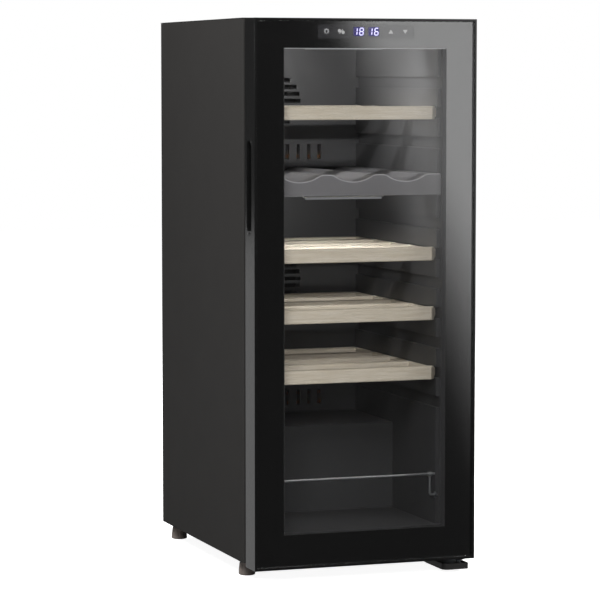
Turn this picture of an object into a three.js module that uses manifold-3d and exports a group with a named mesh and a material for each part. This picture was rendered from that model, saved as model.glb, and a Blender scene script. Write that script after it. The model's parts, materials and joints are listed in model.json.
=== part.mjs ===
// A slim free-standing wine cooler with two temperature zones, built as its separate pieces.
// Millimetres, +Z up. The origin is on the floor under the middle of the whole appliance,
// the door faces -Y and its hinges are on the +X side.

import * as THREE from 'three';
import { mergeVertices } from 'three/addons/utils/BufferGeometryUtils.js';
import Module from 'manifold-3d';

const wasm = await Module();
wasm.setup();

// ---------------------------------------------------------------- driving dimensions

// The whole appliance
const WIDTH = 345;
const CABINET_DEPTH = 414;
const CABINET_HEIGHT = 797;
const FOOT_HEIGHT = 25;
const GAP = 0.3; // between pieces that touch
const STEEL = 1; // outer sheet

// Door
const DOOR_THICKNESS = 45;
const DOOR_STANDOFF = 7; // from the door's back to the cabinet's front
const DOOR_DROP = 4; // how far the door hangs below the cabinet
const DOOR_STEP = 1; // how far it stops below the cabinet's top
const RIM = 3.5; // frame edge around the front glass
const GLASS = 4;
const PRINT = 0.4;
const BORDER_SIDE = 47; // black border, from the door's edge to the clear window
const BORDER_TOP = 44;
const BORDER_BOTTOM = 51;
const UNIT_LAP = 6; // how far the inner pane overlaps the frame's lip
const PANE_SPACE = 12; // between the two panes
const DOOR_EDGE = 3; // chamfer on the frame's rear edges
const INNER_FRAME = 2.3; // wall of the plastic inner frame
const GASKET_INSET = 4;
const GASKET_WIDTH = 13;
const INNER_FLANGE = 19; // width of the inner frame's rear flange

// Door hinges
const HINGE_INSET = 15.5; // pin axis, in from the door's side
const HINGE_SETBACK = 20; // pin axis, forward of the door's back
const PIN_RADIUS = 4;
const PIN_CLEARANCE = 0.3;
const BUSH_RADIUS = 7;
const BUSH_LENGTH = 24;
const BUSH_FLANGE_RADIUS = 9.5;
const BUSH_FLANGE = 4; // thickness of the bottom bush's flange
const PIN_END = 3; // how far a pin stops short of its bush's end
const HINGE_NOTCH = 5; // depth of the pocket for the top hinge plate
const NOTCH_FRONT = 18; // how far the pocket reaches forward of the pin
const NOTCH_CLEARANCE = 1.5;
const PLATE_HALF = 7;
const HINGE_PLATE = 2.5;
const HINGE_LEG = 2;
const BRACKET_PLATE = 4;
const BRACKET_LOW = 8;
const BRACKET_INNER = 29; // how far the bottom bracket reaches to the left of its pin
const BRACKET_OUTER = 5;
const BRACKET_FLANGE = 25; // the part of it that is screwed to the base
const COVER_WALL = 3.4;
const COVER_LOW = 5;
const COVER_HIGH = 14;
const COVER_CORNER = 9;
const COVER_EDGE = 3;

// Finger grip in the door's free side
const GRIP_LENGTH = 139;
const GRIP_HEIGHT = 23;
const GRIP_DEPTH = 17;
const GRIP_WALL = 1.5;
const GRIP_CENTRE = 577.5; // above the floor
const GRIP_FROM_BACK = 20.5;

// Display behind the glass
const DISPLAY_WIDTH = 148;
const DISPLAY_HEIGHT = 20;
const DISPLAY_DEPTH = 11;
const DISPLAY_DROP = 9; // from the door's top

// Insulated walls
const SIDE_WALL = 32.5;
const FLOOR_WALL = 41;
const TOP_WALL = 39;
const BACK_WALL = 37;
const LINER = 2.5;
const FLANGE = 22.5; // steel turned in at the cabinet's front
const REAR_FLANGE = 17.5;
const LINER_LIP = 9.7;
const DUCT_DEPTH = 27;

// Air ducts, fans, lights and sensors
const DUCT_WALL = 2.5;
const FAN_RADIUS = 36;
const FAN_HUB = 12;
const FAN_DEPTH = 12;
const FAN_SETBACK = 18; // from the inside of the duct cover to the fan's back
const FAN_BLADES = 5;
const BLADE_THICKNESS = 2;
const BLADE_TWIST = 0.5; // radians
const GRILLE_RADIUS = 40;
const GRILLE_PITCH = 11;
const GRILLE_SLOT = 6;
const AIR_SLOT_PITCH = 18;
const AIR_SLOT_WIDTH = 6;
const AIR_SLOT_HEIGHT = 24;
const AIR_SLOT_RISE = 12; // above the duct's lower end
const COIL_INSET = 28; // from the liner's side
const COIL_CLEARANCE = 3;
const FIN_PITCH = 14;
const FIN = 2;
const BACK_PLATE = 3; // behind the evaporator's fins
const LED_HALF = 62;
const LED_DEPTH = 12;
const LED_THICKNESS = 6;
const LED_SETBACK = 40;
const SENSOR_RADIUS = 8;
const SENSOR_DEPTH = 6;
const SENSOR_FROM_DUCT = 45;
const UPPER_SENSOR_RISE = 25; // above the divider
const LOWER_SENSOR_DROP = 16; // below the divider

// Supports in the liner's side walls
const PAD = 6;
const PAD_SETBACK = 7;
const GROOVE = 17;
const GROOVE_STEP = 44.6; // to the spare groove above or below a shelf

// Zones and shelves
const UPPER_ZONE = 190; // from the divider's top to the ceiling
const DIVIDER_THICKNESS = 31.5;
const DIVIDER_SETBACK = 3;
const DIVIDER_REBATE = [4, 5]; // depth and height of the step under its front edge
const BOTTOM_BAY = 239; // from the floor of the liner to the lowest shelf's top
const TOP_BAY = 89.5; // from the highest shelf's top to the ceiling
const DIVIDER_BAY = 109.5; // from the shelf below the divider to the divider's top
const LOWER_SHELVES = 3;
const SHELF_CLEARANCE = 2.5;
const SHELF_SETBACK = 3;
const BOARD_HEIGHT = 20;
const BOARD_THICKNESS = 14;
const BOARD_EDGE = 3; // chamfer at the board's ends
const RAIL_WIDTH = 14;
const RAIL_HEIGHT = 14;
const SLAT_WIDTH = 22;
const SLAT_THICKNESS = 8;
const SLATS = 5;
const SLAT_RISE = 1; // above the rails
const SLAT_INSET = 4; // from the rails' outer sides
const RACK_SETBACK = 6; // from the duct cover
const BOTTLE_PITCH = 83;
const SCALLOP_WIDTH = 65;
const SCALLOP_DEPTH = 10.5;

// Guard rail in the bottom bay
const WIRE = 2;
const RAIL_HEIGHT_ABOVE_FLOOR = 76;
const RAIL_DROP = 32;
const RAIL_SETBACK = 8;
const SOCKET_DEPTH = 4;
const DROP_INSET = 9; // from the pads to the rail's drops
const DROP_RADIUS = 1.8;

// Machine compartment at the lower back
const HUMP_HEIGHT = 134; // above the floor of the liner
const HUMP_DEPTH = 192; // forward of the liner's back wall
const HUMP_WALL = 30;
const HUMP_ROOF = 25.5;
const VENT_ROWS = 9;
const VENT_PITCH = 12;
const VENT_SLOT = 5;
const VENT_RISE = 22; // first row, above the compartment's floor
const VENT_REACH = [16, 96]; // from the middle

// Feet
const FOOT_RADIUS = 12.5;
const FOOT_INSET_X = 20;
const FOOT_INSET_FRONT = 45;
const FOOT_INSET_BACK = 26;
const STUD_RADIUS = 4;
const STUD_CLEARANCE = 0.6;
const STUD_LENGTH = 18;
const STUD_POCKET = [2, 4]; // room around and above the front studs, in the insulation
const LOCK_NUT_RADIUS = 9.5;

// Wall spacers on the back
const SPACER_DEPTH = 12;
const SPACER_FROM_CENTRE = 110;
const SPACER_FROM_TOP = 122;
const SPACER_WIDTH = 30;
const SPACER_HEIGHT = 48;
const SPACER_TAPER = 6;

// ---------------------------------------------------------------- places that follow from them

const SIDE = WIDTH / 2;
const DEPTH = DOOR_THICKNESS + DOOR_STANDOFF + CABINET_DEPTH + SPACER_DEPTH;
const DOOR_FRONT = -DEPTH / 2;
const DOOR_BACK = DOOR_FRONT + DOOR_THICKNESS;
const FRONT = DOOR_BACK + DOOR_STANDOFF;
const BACK = FRONT + CABINET_DEPTH;
const BASE = FOOT_HEIGHT;
const TOP = BASE + CABINET_HEIGHT;
const DOOR_LOW = BASE - DOOR_DROP;
const DOOR_HIGH = TOP - DOOR_STEP;

const INNER = SIDE - SIDE_WALL;
const FLOOR = BASE + FLOOR_WALL;
const CEILING = TOP - TOP_WALL;
const INNER_BACK = BACK - BACK_WALL;
const DUCT_FRONT = INNER_BACK - DUCT_DEPTH;
const HUMP_TOP = FLOOR + HUMP_HEIGHT;
const HUMP_FRONT = INNER_BACK - HUMP_DEPTH;

const PAD_FACE = INNER - PAD;
const PAD_FRONT = FRONT + PAD_SETBACK;
const DIVIDER_TOP = CEILING - UPPER_ZONE;
const DIVIDER_LOW = DIVIDER_TOP - DIVIDER_THICKNESS;
const LOWEST_SHELF = FLOOR + BOTTOM_BAY;
const SHELF_PITCH = (DIVIDER_TOP - DIVIDER_BAY - LOWEST_SHELF) / (LOWER_SHELVES - 1);
const SHELF_TOPS = [CEILING - TOP_BAY];
for (let i = LOWER_SHELVES - 1; i >= 0; i -= 1) SHELF_TOPS.push(LOWEST_SHELF + i * SHELF_PITCH);

const PIN_X = SIDE - HINGE_INSET;
const PIN_Y = DOOR_BACK - HINGE_SETBACK;

// ---------------------------------------------------------------- materials

const paint = (color, roughness, metalness = 0) =>
  new THREE.MeshStandardMaterial({ color, roughness, metalness });

const M = {
  panel: paint(0x383736, 0.55, 0.3),
  steel: paint(0x9a9c9e, 0.4, 0.8),
  zinc: paint(0xb4b6b8, 0.35, 0.9),
  chrome: paint(0xd8dadc, 0.12, 1),
  liner: paint(0x1b1b1b, 0.45),
  frame: paint(0x161616, 0.3),
  plastic: paint(0x222222, 0.5),
  greyPlastic: paint(0x6d6c6d, 0.4),
  print: paint(0x0a0a0a, 0.25),
  rubber: paint(0x1a1a1a, 0.8),
  footRubber: paint(0x3a3530, 0.7),
  foam: paint(0xd8c890, 0.9),
  beech: paint(0xb8ad90, 0.55),
  aluminium: paint(0xb8babc, 0.4, 0.9),
  compressorPaint: paint(0x121212, 0.4, 0.3),
  copper: paint(0xb0703c, 0.35, 0.9),
  white: paint(0xe8e8e4, 0.5),
  display: paint(0x101012, 0.3),
  glass: new THREE.MeshStandardMaterial({
    color: 0xdfe6e4, roughness: 0.05, metalness: 0, transparent: true, opacity: 0.3
  })
};

// ---------------------------------------------------------------- geometry helpers

// A box from its lowest corner to its highest.
function block([x0, y0, z0], [x1, y1, z1]) {
  const box = new THREE.BoxGeometry(x1 - x0, y1 - y0, z1 - z0);
  return box.translate((x0 + x1) / 2, (y0 + y1) / 2, (z0 + z1) / 2);
}

// A box that is centred on x = 0.
const slab = (half, [y0, z0], [y1, z1]) => block([-half, y0, z0], [half, y1, z1]);

function polygon(points) {
  return new THREE.Shape(points.map(([a, b]) => new THREE.Vector2(a, b)));
}

const rectangle = (a0, b0, a1, b1) => polygon([[a0, b0], [a1, b0], [a1, b1], [a0, b1]]);

// An outline with round ends, longer in its second direction.
function stadium(a, b, width, length) {
  const r = width / 2;
  const straight = length / 2 - r;
  const shape = new THREE.Shape();
  shape.absarc(a, b + straight, r, 0, Math.PI, false);
  shape.absarc(a, b - straight, r, Math.PI, 2 * Math.PI, false);
  shape.closePath();
  return shape;
}

function extruded(shape, depth, curveSegments) {
  return new THREE.ExtrudeGeometry(shape, { depth, bevelEnabled: false, curveSegments });
}

// Outline drawn in X and Y, standing from z0 to z1.
const alongZ = (shape, z0, z1, segments = 8) =>
  extruded(shape, z1 - z0, segments).translate(0, 0, z0);

// Outline drawn in X and Z, running from y0 to y1.
const alongY = (shape, y0, y1, segments = 8) =>
  extruded(shape, y1 - y0, segments).rotateX(Math.PI / 2).translate(0, y1, 0);

// Outline drawn in Y and Z, running from x0 to x1.
function alongX(shape, x0, x1, segments = 8) {
  const turn = new THREE.Matrix4().makeBasis(
    new THREE.Vector3(0, 1, 0),
    new THREE.Vector3(0, 0, 1),
    new THREE.Vector3(1, 0, 0)
  );
  return extruded(shape, x1 - x0, segments).applyMatrix4(turn).translate(x0, 0, 0);
}

// A turned piece from [radius, height] pairs, standing on z at (x, y).
function turned(profile, [x, y], segments = 24) {
  const points = profile.map(([r, z]) => new THREE.Vector2(r, z));
  return new THREE.LatheGeometry(points, segments).rotateX(Math.PI / 2).translate(x, y, 0);
}

const rod = (radius, [x, y], z0, z1, segments = 24) =>
  turned([[0, z0], [radius, z0], [radius, z1], [0, z1]], [x, y], segments);

// A round wire or pipe through the given points, with rounded corners.
function wire(points, radius, bend, sides = 8) {
  const path = new THREE.CurvePath();
  const places = points.map((p) => new THREE.Vector3(...p));
  let from = places[0];
  for (let i = 1; i < places.length - 1; i += 1) {
    const corner = places[i];
    const before = corner.clone().lerp(places[i - 1], bend / corner.distanceTo(places[i - 1]));
    const after = corner.clone().lerp(places[i + 1], bend / corner.distanceTo(places[i + 1]));
    path.add(new THREE.LineCurve3(from, before));
    path.add(new THREE.QuadraticBezierCurve3(before, corner, after));
    from = after;
  }
  path.add(new THREE.LineCurve3(from, places.at(-1)));
  const section = new THREE.Shape();
  section.absarc(0, 0, radius, 0, 2 * Math.PI, false);
  const steps = 2 + 8 * (points.length - 2);
  return new THREE.ExtrudeGeometry(section, {
    extrudePath: path, steps, bevelEnabled: false, curveSegments: sides
  });
}

function toSolid(geometry) {
  const bare = new THREE.BufferGeometry();
  bare.setAttribute('position', geometry.getAttribute('position'));
  bare.setIndex(geometry.index);
  const merged = mergeVertices(bare, 1e-4);
  return new wasm.Manifold(new wasm.Mesh({
    numProp: 3,
    vertProperties: new Float32Array(merged.getAttribute('position').array),
    triVerts: new Uint32Array(merged.index.array)
  }));
}

function toGeometry(solid) {
  const mesh = solid.getMesh();
  const geometry = new THREE.BufferGeometry();
  geometry.setAttribute('position', new THREE.BufferAttribute(mesh.vertProperties, 3));
  geometry.setIndex(new THREE.BufferAttribute(mesh.triVerts, 1));
  geometry.computeVertexNormals();
  return geometry;
}

const join = (...pieces) =>
  toGeometry(pieces.map(toSolid).reduce((whole, piece) => whole.add(piece)));

const cut = (body, ...holes) =>
  toGeometry(holes.map(toSolid).reduce((rest, hole) => rest.subtract(hole), toSolid(body)));

const mirrorX = (x, side) => (side < 0 ? [-x[1], -x[0]] : x);

// A box given for the +X side and mirrored when side is -1.
function sideBlock(side, [x0, x1], [y0, y1], [z0, z1]) {
  const [a, b] = mirrorX([x0, x1], side);
  return block([a, y0, z0], [b, y1, z1]);
}

// A flat ring between two rectangles drawn in X and Z.
function ring(y0, y1, outer, inner) {
  const outside = slab(outer.half, [y0, outer.low], [y1, outer.high]);
  const inside = slab(inner.half, [y0 - 1, inner.low], [y1 + 1, inner.high]);
  return cut(outside, inside);
}

const grown = (r, by) => ({ half: r.half + by, low: r.low - by, high: r.high + by });

const cooler = new THREE.Group();

function add(name, geometry, material) {
  const mesh = new THREE.Mesh(geometry, material);
  mesh.name = name;
  cooler.add(mesh);
}

// ---------------------------------------------------------------- cabinet shell

// A side sheet with its edges turned in at the front and the back.
function sidePanel(side) {
  const x = (v) => side * v;
  const outline = polygon([
    [x(SIDE), FRONT],
    [x(SIDE), BACK],
    [x(SIDE - REAR_FLANGE), BACK],
    [x(SIDE - REAR_FLANGE), BACK - STEEL],
    [x(SIDE - STEEL), BACK - STEEL],
    [x(SIDE - STEEL), FRONT + STEEL],
    [x(SIDE - FLANGE), FRONT + STEEL],
    [x(SIDE - FLANGE), FRONT]
  ]);
  return alongZ(outline, BASE, TOP - STEEL - GAP);
}

const LIP_HALF = SIDE - FLANGE - GAP; // half the width between the side flanges
const LIP = { half: LIP_HALF, low: FLOOR - LINER_LIP, high: CEILING + LINER_LIP };

function topPanel() {
  const sheet = slab(SIDE, [FRONT, TOP - STEEL], [BACK, TOP]);
  const flange = slab(LIP_HALF, [FRONT, LIP.high + GAP], [FRONT + STEEL, TOP]);
  return join(sheet, flange);
}

const FEET = [
  ['front_left', -1, FRONT + FOOT_INSET_FRONT],
  ['front_right', 1, FRONT + FOOT_INSET_FRONT],
  ['rear_left', -1, BACK - FOOT_INSET_BACK],
  ['rear_right', 1, BACK - FOOT_INSET_BACK]
].map(([name, side, y]) => ({ name, x: side * (SIDE - FOOT_INSET_X), y }));

const studHole = (foot, top) =>
  rod(STUD_RADIUS + STUD_CLEARANCE, [foot.x, foot.y], BASE - 1, top, 16);

function basePlate() {
  const inside = SIDE - STEEL - GAP;
  const sheet = slab(inside, [FRONT + STEEL + GAP, BASE], [BACK - STEEL - GAP, BASE + STEEL]);
  const turnedUp = slab(LIP_HALF, [FRONT, BASE], [FRONT + STEEL, LIP.low - GAP]);
  const bridge = slab(LIP_HALF, [FRONT, BASE], [FRONT + 2 * STEEL, BASE + STEEL]);
  return cut(join(sheet, turnedUp, bridge), ...FEET.map((f) => studHole(f, BASE + 3)));
}

const BAY = {
  half: SIDE - STEEL - GAP,
  front: HUMP_FRONT + LINER + HUMP_WALL,
  low: BASE + STEEL + GAP,
  high: HUMP_TOP - LINER - HUMP_ROOF
};

const backHalf = SIDE - REAR_FLANGE - GAP;

function backPanel() {
  return slab(backHalf, [BACK - STEEL, BAY.high + GAP], [BACK, TOP - STEEL - GAP]);
}

function rearGrille() {
  const slots = [];
  for (const side of [-1, 1]) {
    for (let i = 0; i < VENT_ROWS; i += 1) {
      const z = BAY.low + VENT_RISE + i * VENT_PITCH;
      slots.push(sideBlock(side, VENT_REACH, [BACK - 3, BACK + 1], [z, z + VENT_SLOT]));
    }
  }
  const plate = slab(backHalf, [BACK - STEEL, BAY.low], [BACK, BAY.high]);
  const inlet = alongY(circle(INLET.x, INLET.z, INLET.radius + GAP), BACK - 3, BACK + 1);
  return cut(plate, ...slots, inlet);
}

function circle(a, b, radius) {
  const shape = new THREE.Shape();
  shape.absarc(a, b, radius, 0, 2 * Math.PI, false);
  return shape;
}

// ---------------------------------------------------------------- liner and insulation

// The inside of the liner from the side: a step at the lower back makes room for the compressor.
function cavityOutline(wall) {
  return polygon([
    [FRONT - 1, FLOOR - wall],
    [HUMP_FRONT + wall, FLOOR - wall],
    [HUMP_FRONT + wall, HUMP_TOP - wall],
    [INNER_BACK + wall, HUMP_TOP - wall],
    [INNER_BACK + wall, CEILING + wall],
    [FRONT - 1, CEILING + wall]
  ]);
}

const shelfCentre = (top) => top - BOARD_HEIGHT / 2;

// Heights of the shelf grooves: at each shelf, between the shelves, and a step beyond the last ones.
function grooveHeights() {
  const lower = [];
  const lowest = shelfCentre(LOWEST_SHELF);
  for (let i = 0; i <= 2 * LOWER_SHELVES - 2; i += 1) lower.push(lowest + (i * SHELF_PITCH) / 2);
  lower.unshift(lowest - GROOVE_STEP);
  lower.push(lower.at(-1) + GROOVE_STEP);
  const upper = [-1, 0, 1].map((i) => shelfCentre(SHELF_TOPS[0]) + i * GROOVE_STEP);
  return { lower, upper };
}

// The raised pads between the grooves of one zone, as [low, high] pairs.
function padHeights(low, high, grooves) {
  const edges = [low, ...grooves.flatMap((z) => [z - GROOVE / 2, z + GROOVE / 2]), high];
  const pads = [];
  for (let i = 0; i < edges.length; i += 2) pads.push([edges[i], edges[i + 1]]);
  return pads;
}

function innerLiner() {
  const grooves = grooveHeights();
  const heights = [
    ...padHeights(FLOOR - 1, DIVIDER_LOW - GAP, grooves.lower),
    ...padHeights(DIVIDER_TOP + GAP, CEILING + 1, grooves.upper)
  ];
  const pads = [-1, 1].flatMap((side) => heights.map(([low, high]) =>
    sideBlock(side, [PAD_FACE, INNER + 1], [PAD_FRONT, DUCT_FRONT - GAP], [low, high])));
  const cavity = cut(alongX(cavityOutline(0), -INNER, INNER), ...pads);
  const shell = alongX(cavityOutline(LINER), -INNER - LINER, INNER + LINER);
  const lip = slab(LIP.half, [FRONT, LIP.low], [FRONT + LINER, LIP.high]);
  const beyond = slab(SIDE, [FRONT - 2, BASE], [FRONT, TOP]);
  const sockets = [-1, 1].map((side) => railSocket(side));
  return cut(join(shell, lip), beyond, cavity, ...sockets);
}

function foamInsulation() {
  const inside = SIDE - STEEL - 2 * GAP;
  const filling = slab(
    inside,
    [FRONT + LINER + GAP, BASE + STEEL + GAP],
    [BACK - STEEL - GAP, TOP - STEEL - GAP]
  );
  const half = INNER + LINER + GAP;
  const liner = alongX(cavityOutline(LINER + GAP), -half, half);
  const bay = slab(SIDE, [BAY.front - STEEL - GAP, BASE], [BACK + 1, BAY.high + GAP + STEEL]);
  const [around, above] = STUD_POCKET;
  const pockets = FEET.slice(0, 2).map((f) =>
    rod(STUD_RADIUS + around, [f.x, f.y], BASE, BASE + STUD_LENGTH + above, 16));
  return cut(filling, liner, bay, ...pockets);
}

// The sheet between the insulation and the machine compartment.
function compartmentSheet() {
  const back = BACK - STEEL - GAP;
  const outline = polygon([
    [BAY.front - STEEL, BAY.low],
    [BAY.front, BAY.low],
    [BAY.front, BAY.high],
    [back, BAY.high],
    [back, BAY.high + STEEL],
    [BAY.front - STEEL, BAY.high + STEEL]
  ]);
  return alongX(outline, -BAY.half, BAY.half);
}

// The insulated floor between the zones, with a bottle's hollow along it for each bottle.
function zoneDivider() {
  const radius = (SCALLOP_WIDTH ** 2 / 4 + SCALLOP_DEPTH ** 2) / (2 * SCALLOP_DEPTH);
  const y0 = FRONT + DIVIDER_SETBACK;
  const y1 = INNER_BACK - GAP;
  const body = slab(INNER - GAP, [y0, DIVIDER_LOW], [y1, DIVIDER_TOP]);
  const hollows = [-1, 0, 1].map((i) => {
    const centre = circle(i * BOTTLE_PITCH, DIVIDER_TOP - SCALLOP_DEPTH + radius, radius);
    return alongY(centre, y0 - 1, y1 + 1, 24);
  });
  const [depth, height] = DIVIDER_REBATE;
  const rebate = slab(INNER, [y0 - 1, DIVIDER_LOW - 1], [y0 + depth, DIVIDER_LOW + height]);
  return cut(body, ...hollows, rebate);
}

// ---------------------------------------------------------------- air ducts and fans

const DUCTS = [
  { name: 'upper', low: DIVIDER_TOP + 2 * GAP, high: CEILING - GAP, fan: 105, coil: 44 },
  { name: 'lower', low: HUMP_TOP + GAP, high: DIVIDER_LOW - 2 * GAP, fan: 215, coil: 130 }
];

// A cover with a round louvred fan grille and a row of air slots.
function ductCover(duct) {
  const half = INNER - GAP;
  const box = slab(half, [DUCT_FRONT, duct.low], [INNER_BACK - GAP, duct.high]);
  const inside = slab(
    half - DUCT_WALL,
    [DUCT_FRONT + DUCT_WALL, duct.low + DUCT_WALL],
    [INNER_BACK + 1, duct.high - DUCT_WALL]
  );
  const holes = [inside];
  const centre = duct.low + duct.fan;
  const behind = DUCT_FRONT + DUCT_WALL + 1;
  for (let i = -3; i <= 3; i += 1) {
    const dz = i * GRILLE_PITCH;
    const reach = Math.sqrt(GRILLE_RADIUS ** 2 - dz ** 2);
    const z = centre + dz - GRILLE_SLOT / 2;
    holes.push(slab(reach, [DUCT_FRONT - 1, z], [behind, z + GRILLE_SLOT]));
  }
  for (let i = -4; i <= 4; i += 1) {
    const x = i * AIR_SLOT_PITCH - AIR_SLOT_WIDTH / 2;
    const z = duct.low + AIR_SLOT_RISE;
    holes.push(block([x, DUCT_FRONT - 1, z], [x + AIR_SLOT_WIDTH, behind, z + AIR_SLOT_HEIGHT]));
  }
  return cut(box, ...holes);
}

// A small axial fan on the Z axis with its back at z = 0, before it is turned into place.
function fanWheel(radius, hub, depth, blades) {
  const body = rod(hub, [0, 0], 0, depth, 20);
  const vanes = [];
  for (let i = 0; i < blades; i += 1) {
    const outline = polygon([
      [hub - 2, -hub * 0.45],
      [radius * 0.95, -radius * 0.2],
      [radius, radius * 0.12],
      [radius * 0.9, radius * 0.32],
      [hub - 2, hub * 0.45]
    ]);
    const flat = alongZ(outline, -BLADE_THICKNESS / 2, BLADE_THICKNESS / 2);
    const vane = flat.rotateX(BLADE_TWIST).translate(0, 0, depth / 2);
    vanes.push(vane.rotateZ((2 * Math.PI * i) / blades));
  }
  return join(body, ...vanes);
}

function ductFan(duct) {
  const wheel = fanWheel(FAN_RADIUS, FAN_HUB, FAN_DEPTH, FAN_BLADES).rotateX(Math.PI / 2);
  return wheel.translate(0, DUCT_FRONT + DUCT_WALL + FAN_SETBACK, duct.low + duct.fan);
}

// A block of upright aluminium fins on a common back plate.
function evaporator(duct) {
  const half = INNER - COIL_INSET;
  const y0 = DUCT_FRONT + DUCT_WALL + COIL_CLEARANCE;
  const y1 = INNER_BACK - COIL_CLEARANCE - 1;
  const low = duct.low + DUCT_WALL + COIL_CLEARANCE;
  const high = low + duct.coil;
  const channels = [];
  for (let x = -half + FIN; x + FIN_PITCH <= half; x += FIN_PITCH) {
    channels.push(block([x, y0 - 1, low - 1], [x + FIN_PITCH - FIN, y1 - BACK_PLATE, high + 1]));
  }
  return cut(slab(half, [y0, low], [y1, high]), ...channels);
}

function ledBar(z) {
  const y = FRONT + LED_SETBACK;
  return slab(LED_HALF, [y, z - LED_THICKNESS], [y + LED_DEPTH, z]);
}

const sensor = (z) => {
  const cap = circle(DUCT_FRONT - SENSOR_FROM_DUCT, z, SENSOR_RADIUS);
  return alongX(cap, -PAD_FACE + GAP, -PAD_FACE + SENSOR_DEPTH, 10);
};

// ---------------------------------------------------------------- guard rail

const RAIL_Y = FRONT + RAIL_SETBACK;
const RAIL_Z = FLOOR + RAIL_HEIGHT_ABOVE_FLOOR;
const PEG_Z = RAIL_Z - RAIL_DROP;

function railSocket(side) {
  const [a, b] = mirrorX([PAD_FACE - 1, PAD_FACE + SOCKET_DEPTH], side);
  return alongX(circle(RAIL_Y, PEG_Z, WIRE + GAP), a, b, 6);
}

// A chrome wire across the bay, on a drop at each end that pegs into the wall.
function guardRail() {
  const end = PAD_FACE - 1;
  const drop = PAD_FACE - DROP_INSET;
  const bar = wire([[-end, RAIL_Y, RAIL_Z], [end, RAIL_Y, RAIL_Z]], WIRE, 0);
  const drops = [-1, 1].map((side) => wire([
    [side * drop, RAIL_Y, RAIL_Z + 0.5],
    [side * drop, RAIL_Y, PEG_Z],
    [side * (PAD_FACE + SOCKET_DEPTH - 1), RAIL_Y, PEG_Z]
  ], DROP_RADIUS, 4));
  return join(bar, ...drops);
}

// ---------------------------------------------------------------- shelves

const BOARD_HALF = PAD_FACE - SHELF_CLEARANCE;
const SHELF_FRONT = FRONT + SHELF_SETBACK;
const RACK_FRONT = SHELF_FRONT + BOARD_THICKNESS + GAP;
const RACK_BACK = DUCT_FRONT - RACK_SETBACK;

function shelfFront(top) {
  const outline = polygon([
    [-BOARD_HALF, SHELF_FRONT + BOARD_EDGE],
    [-BOARD_HALF + BOARD_EDGE, SHELF_FRONT],
    [BOARD_HALF - BOARD_EDGE, SHELF_FRONT],
    [BOARD_HALF, SHELF_FRONT + BOARD_EDGE],
    [BOARD_HALF, SHELF_FRONT + BOARD_THICKNESS],
    [-BOARD_HALF, SHELF_FRONT + BOARD_THICKNESS]
  ]);
  return alongZ(outline, top - BOARD_HEIGHT, top);
}

// Two side rails that run in the grooves, with slats let into their tops.
function shelfRack(top) {
  const outer = INNER - SHELF_CLEARANCE;
  const low = shelfCentre(top) - RAIL_HEIGHT / 2;
  const high = low + RAIL_HEIGHT;
  const rails = [-1, 1].map((side) =>
    sideBlock(side, [outer - RAIL_WIDTH, outer], [RACK_FRONT, RACK_BACK], [low, high]));
  const pitch = (RACK_BACK - RACK_FRONT - SLAT_WIDTH) / (SLATS - 1);
  const slats = [];
  for (let i = 0; i < SLATS; i += 1) {
    const y = RACK_FRONT + i * pitch;
    const z = high + SLAT_RISE;
    slats.push(slab(outer - SLAT_INSET, [y, z - SLAT_THICKNESS], [y + SLAT_WIDTH, z]));
  }
  return join(...rails, ...slats);
}

// ---------------------------------------------------------------- door

const OPENING = { half: INNER + 2, low: FLOOR, high: CEILING };
const UNIT = grown(OPENING, UNIT_LAP);
const PRINT_BACK = DOOR_FRONT + GLASS + GAP + PRINT;
const LAND = PRINT_BACK + GAP; // the frame's face behind the glass
const PANE_FRONT = LAND + PANE_SPACE;
const PANE_BACK = PANE_FRONT + GLASS;
const GLASS_EDGE = {
  half: SIDE - RIM - GAP, low: DOOR_LOW + RIM + GAP, high: DOOR_HIGH - RIM - GAP
};
const DISPLAY = { low: DOOR_HIGH - DISPLAY_DROP - DISPLAY_HEIGHT, high: DOOR_HIGH - DISPLAY_DROP };
const GRIP_Y = DOOR_BACK - GRIP_FROM_BACK;

function doorFrame() {
  const c = DOOR_EDGE;
  const outline = polygon([
    [-SIDE, DOOR_FRONT], [SIDE, DOOR_FRONT], [SIDE, DOOR_BACK - c], [SIDE - c, DOOR_BACK],
    [-SIDE + c, DOOR_BACK], [-SIDE, DOOR_BACK - c]
  ]);
  const edge = grown(GLASS_EDGE, GAP);
  const unit = grown(UNIT, GAP);
  const lip = grown(OPENING, INNER_FRAME + GAP);
  const rebate = grown(OPENING, INNER_FLANGE + GAP);
  const pocket = (r, y0, y1) => slab(r.half, [y0, r.low], [y1, r.high]);
  return cut(
    alongZ(outline, DOOR_LOW, DOOR_HIGH),
    pocket(edge, DOOR_FRONT - 1, LAND),
    pocket(unit, DOOR_FRONT, PANE_BACK + GAP),
    pocket(lip, DOOR_FRONT, DOOR_BACK + 1),
    pocket(rebate, DOOR_BACK - INNER_FRAME - GAP, DOOR_BACK + 1),
    displayPocket(),
    alongX(stadium(GRIP_Y, GRIP_CENTRE, GRIP_HEIGHT, GRIP_LENGTH), -SIDE - 1, -SIDE + GRIP_DEPTH),
    rod(BUSH_RADIUS + GAP, [PIN_X, PIN_Y], DOOR_LOW - 1, DOOR_LOW + BUSH_LENGTH + GAP),
    rod(BUSH_RADIUS + GAP, [PIN_X, PIN_Y], DOOR_HIGH - HINGE_NOTCH - BUSH_LENGTH, DOOR_HIGH),
    hingeNotch()
  );
}

function displayPocket() {
  const half = DISPLAY_WIDTH / 2 + 2 * GAP;
  return slab(half, [LAND - 1, DISPLAY.low - GAP], [LAND + DISPLAY_DEPTH + GAP, DISPLAY.high + GAP]);
}

// Room behind the front edge for the top hinge plate, through the whole swing.
function hingeNotch() {
  const low = DOOR_HIGH - HINGE_NOTCH;
  const reach = PLATE_HALF * Math.SQRT2 + NOTCH_CLEARANCE;
  return block(
    [PIN_X - reach, PIN_Y - NOTCH_FRONT, low],
    [SIDE + 1, DOOR_BACK + 1, DOOR_HIGH + 1]
  );
}

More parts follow.
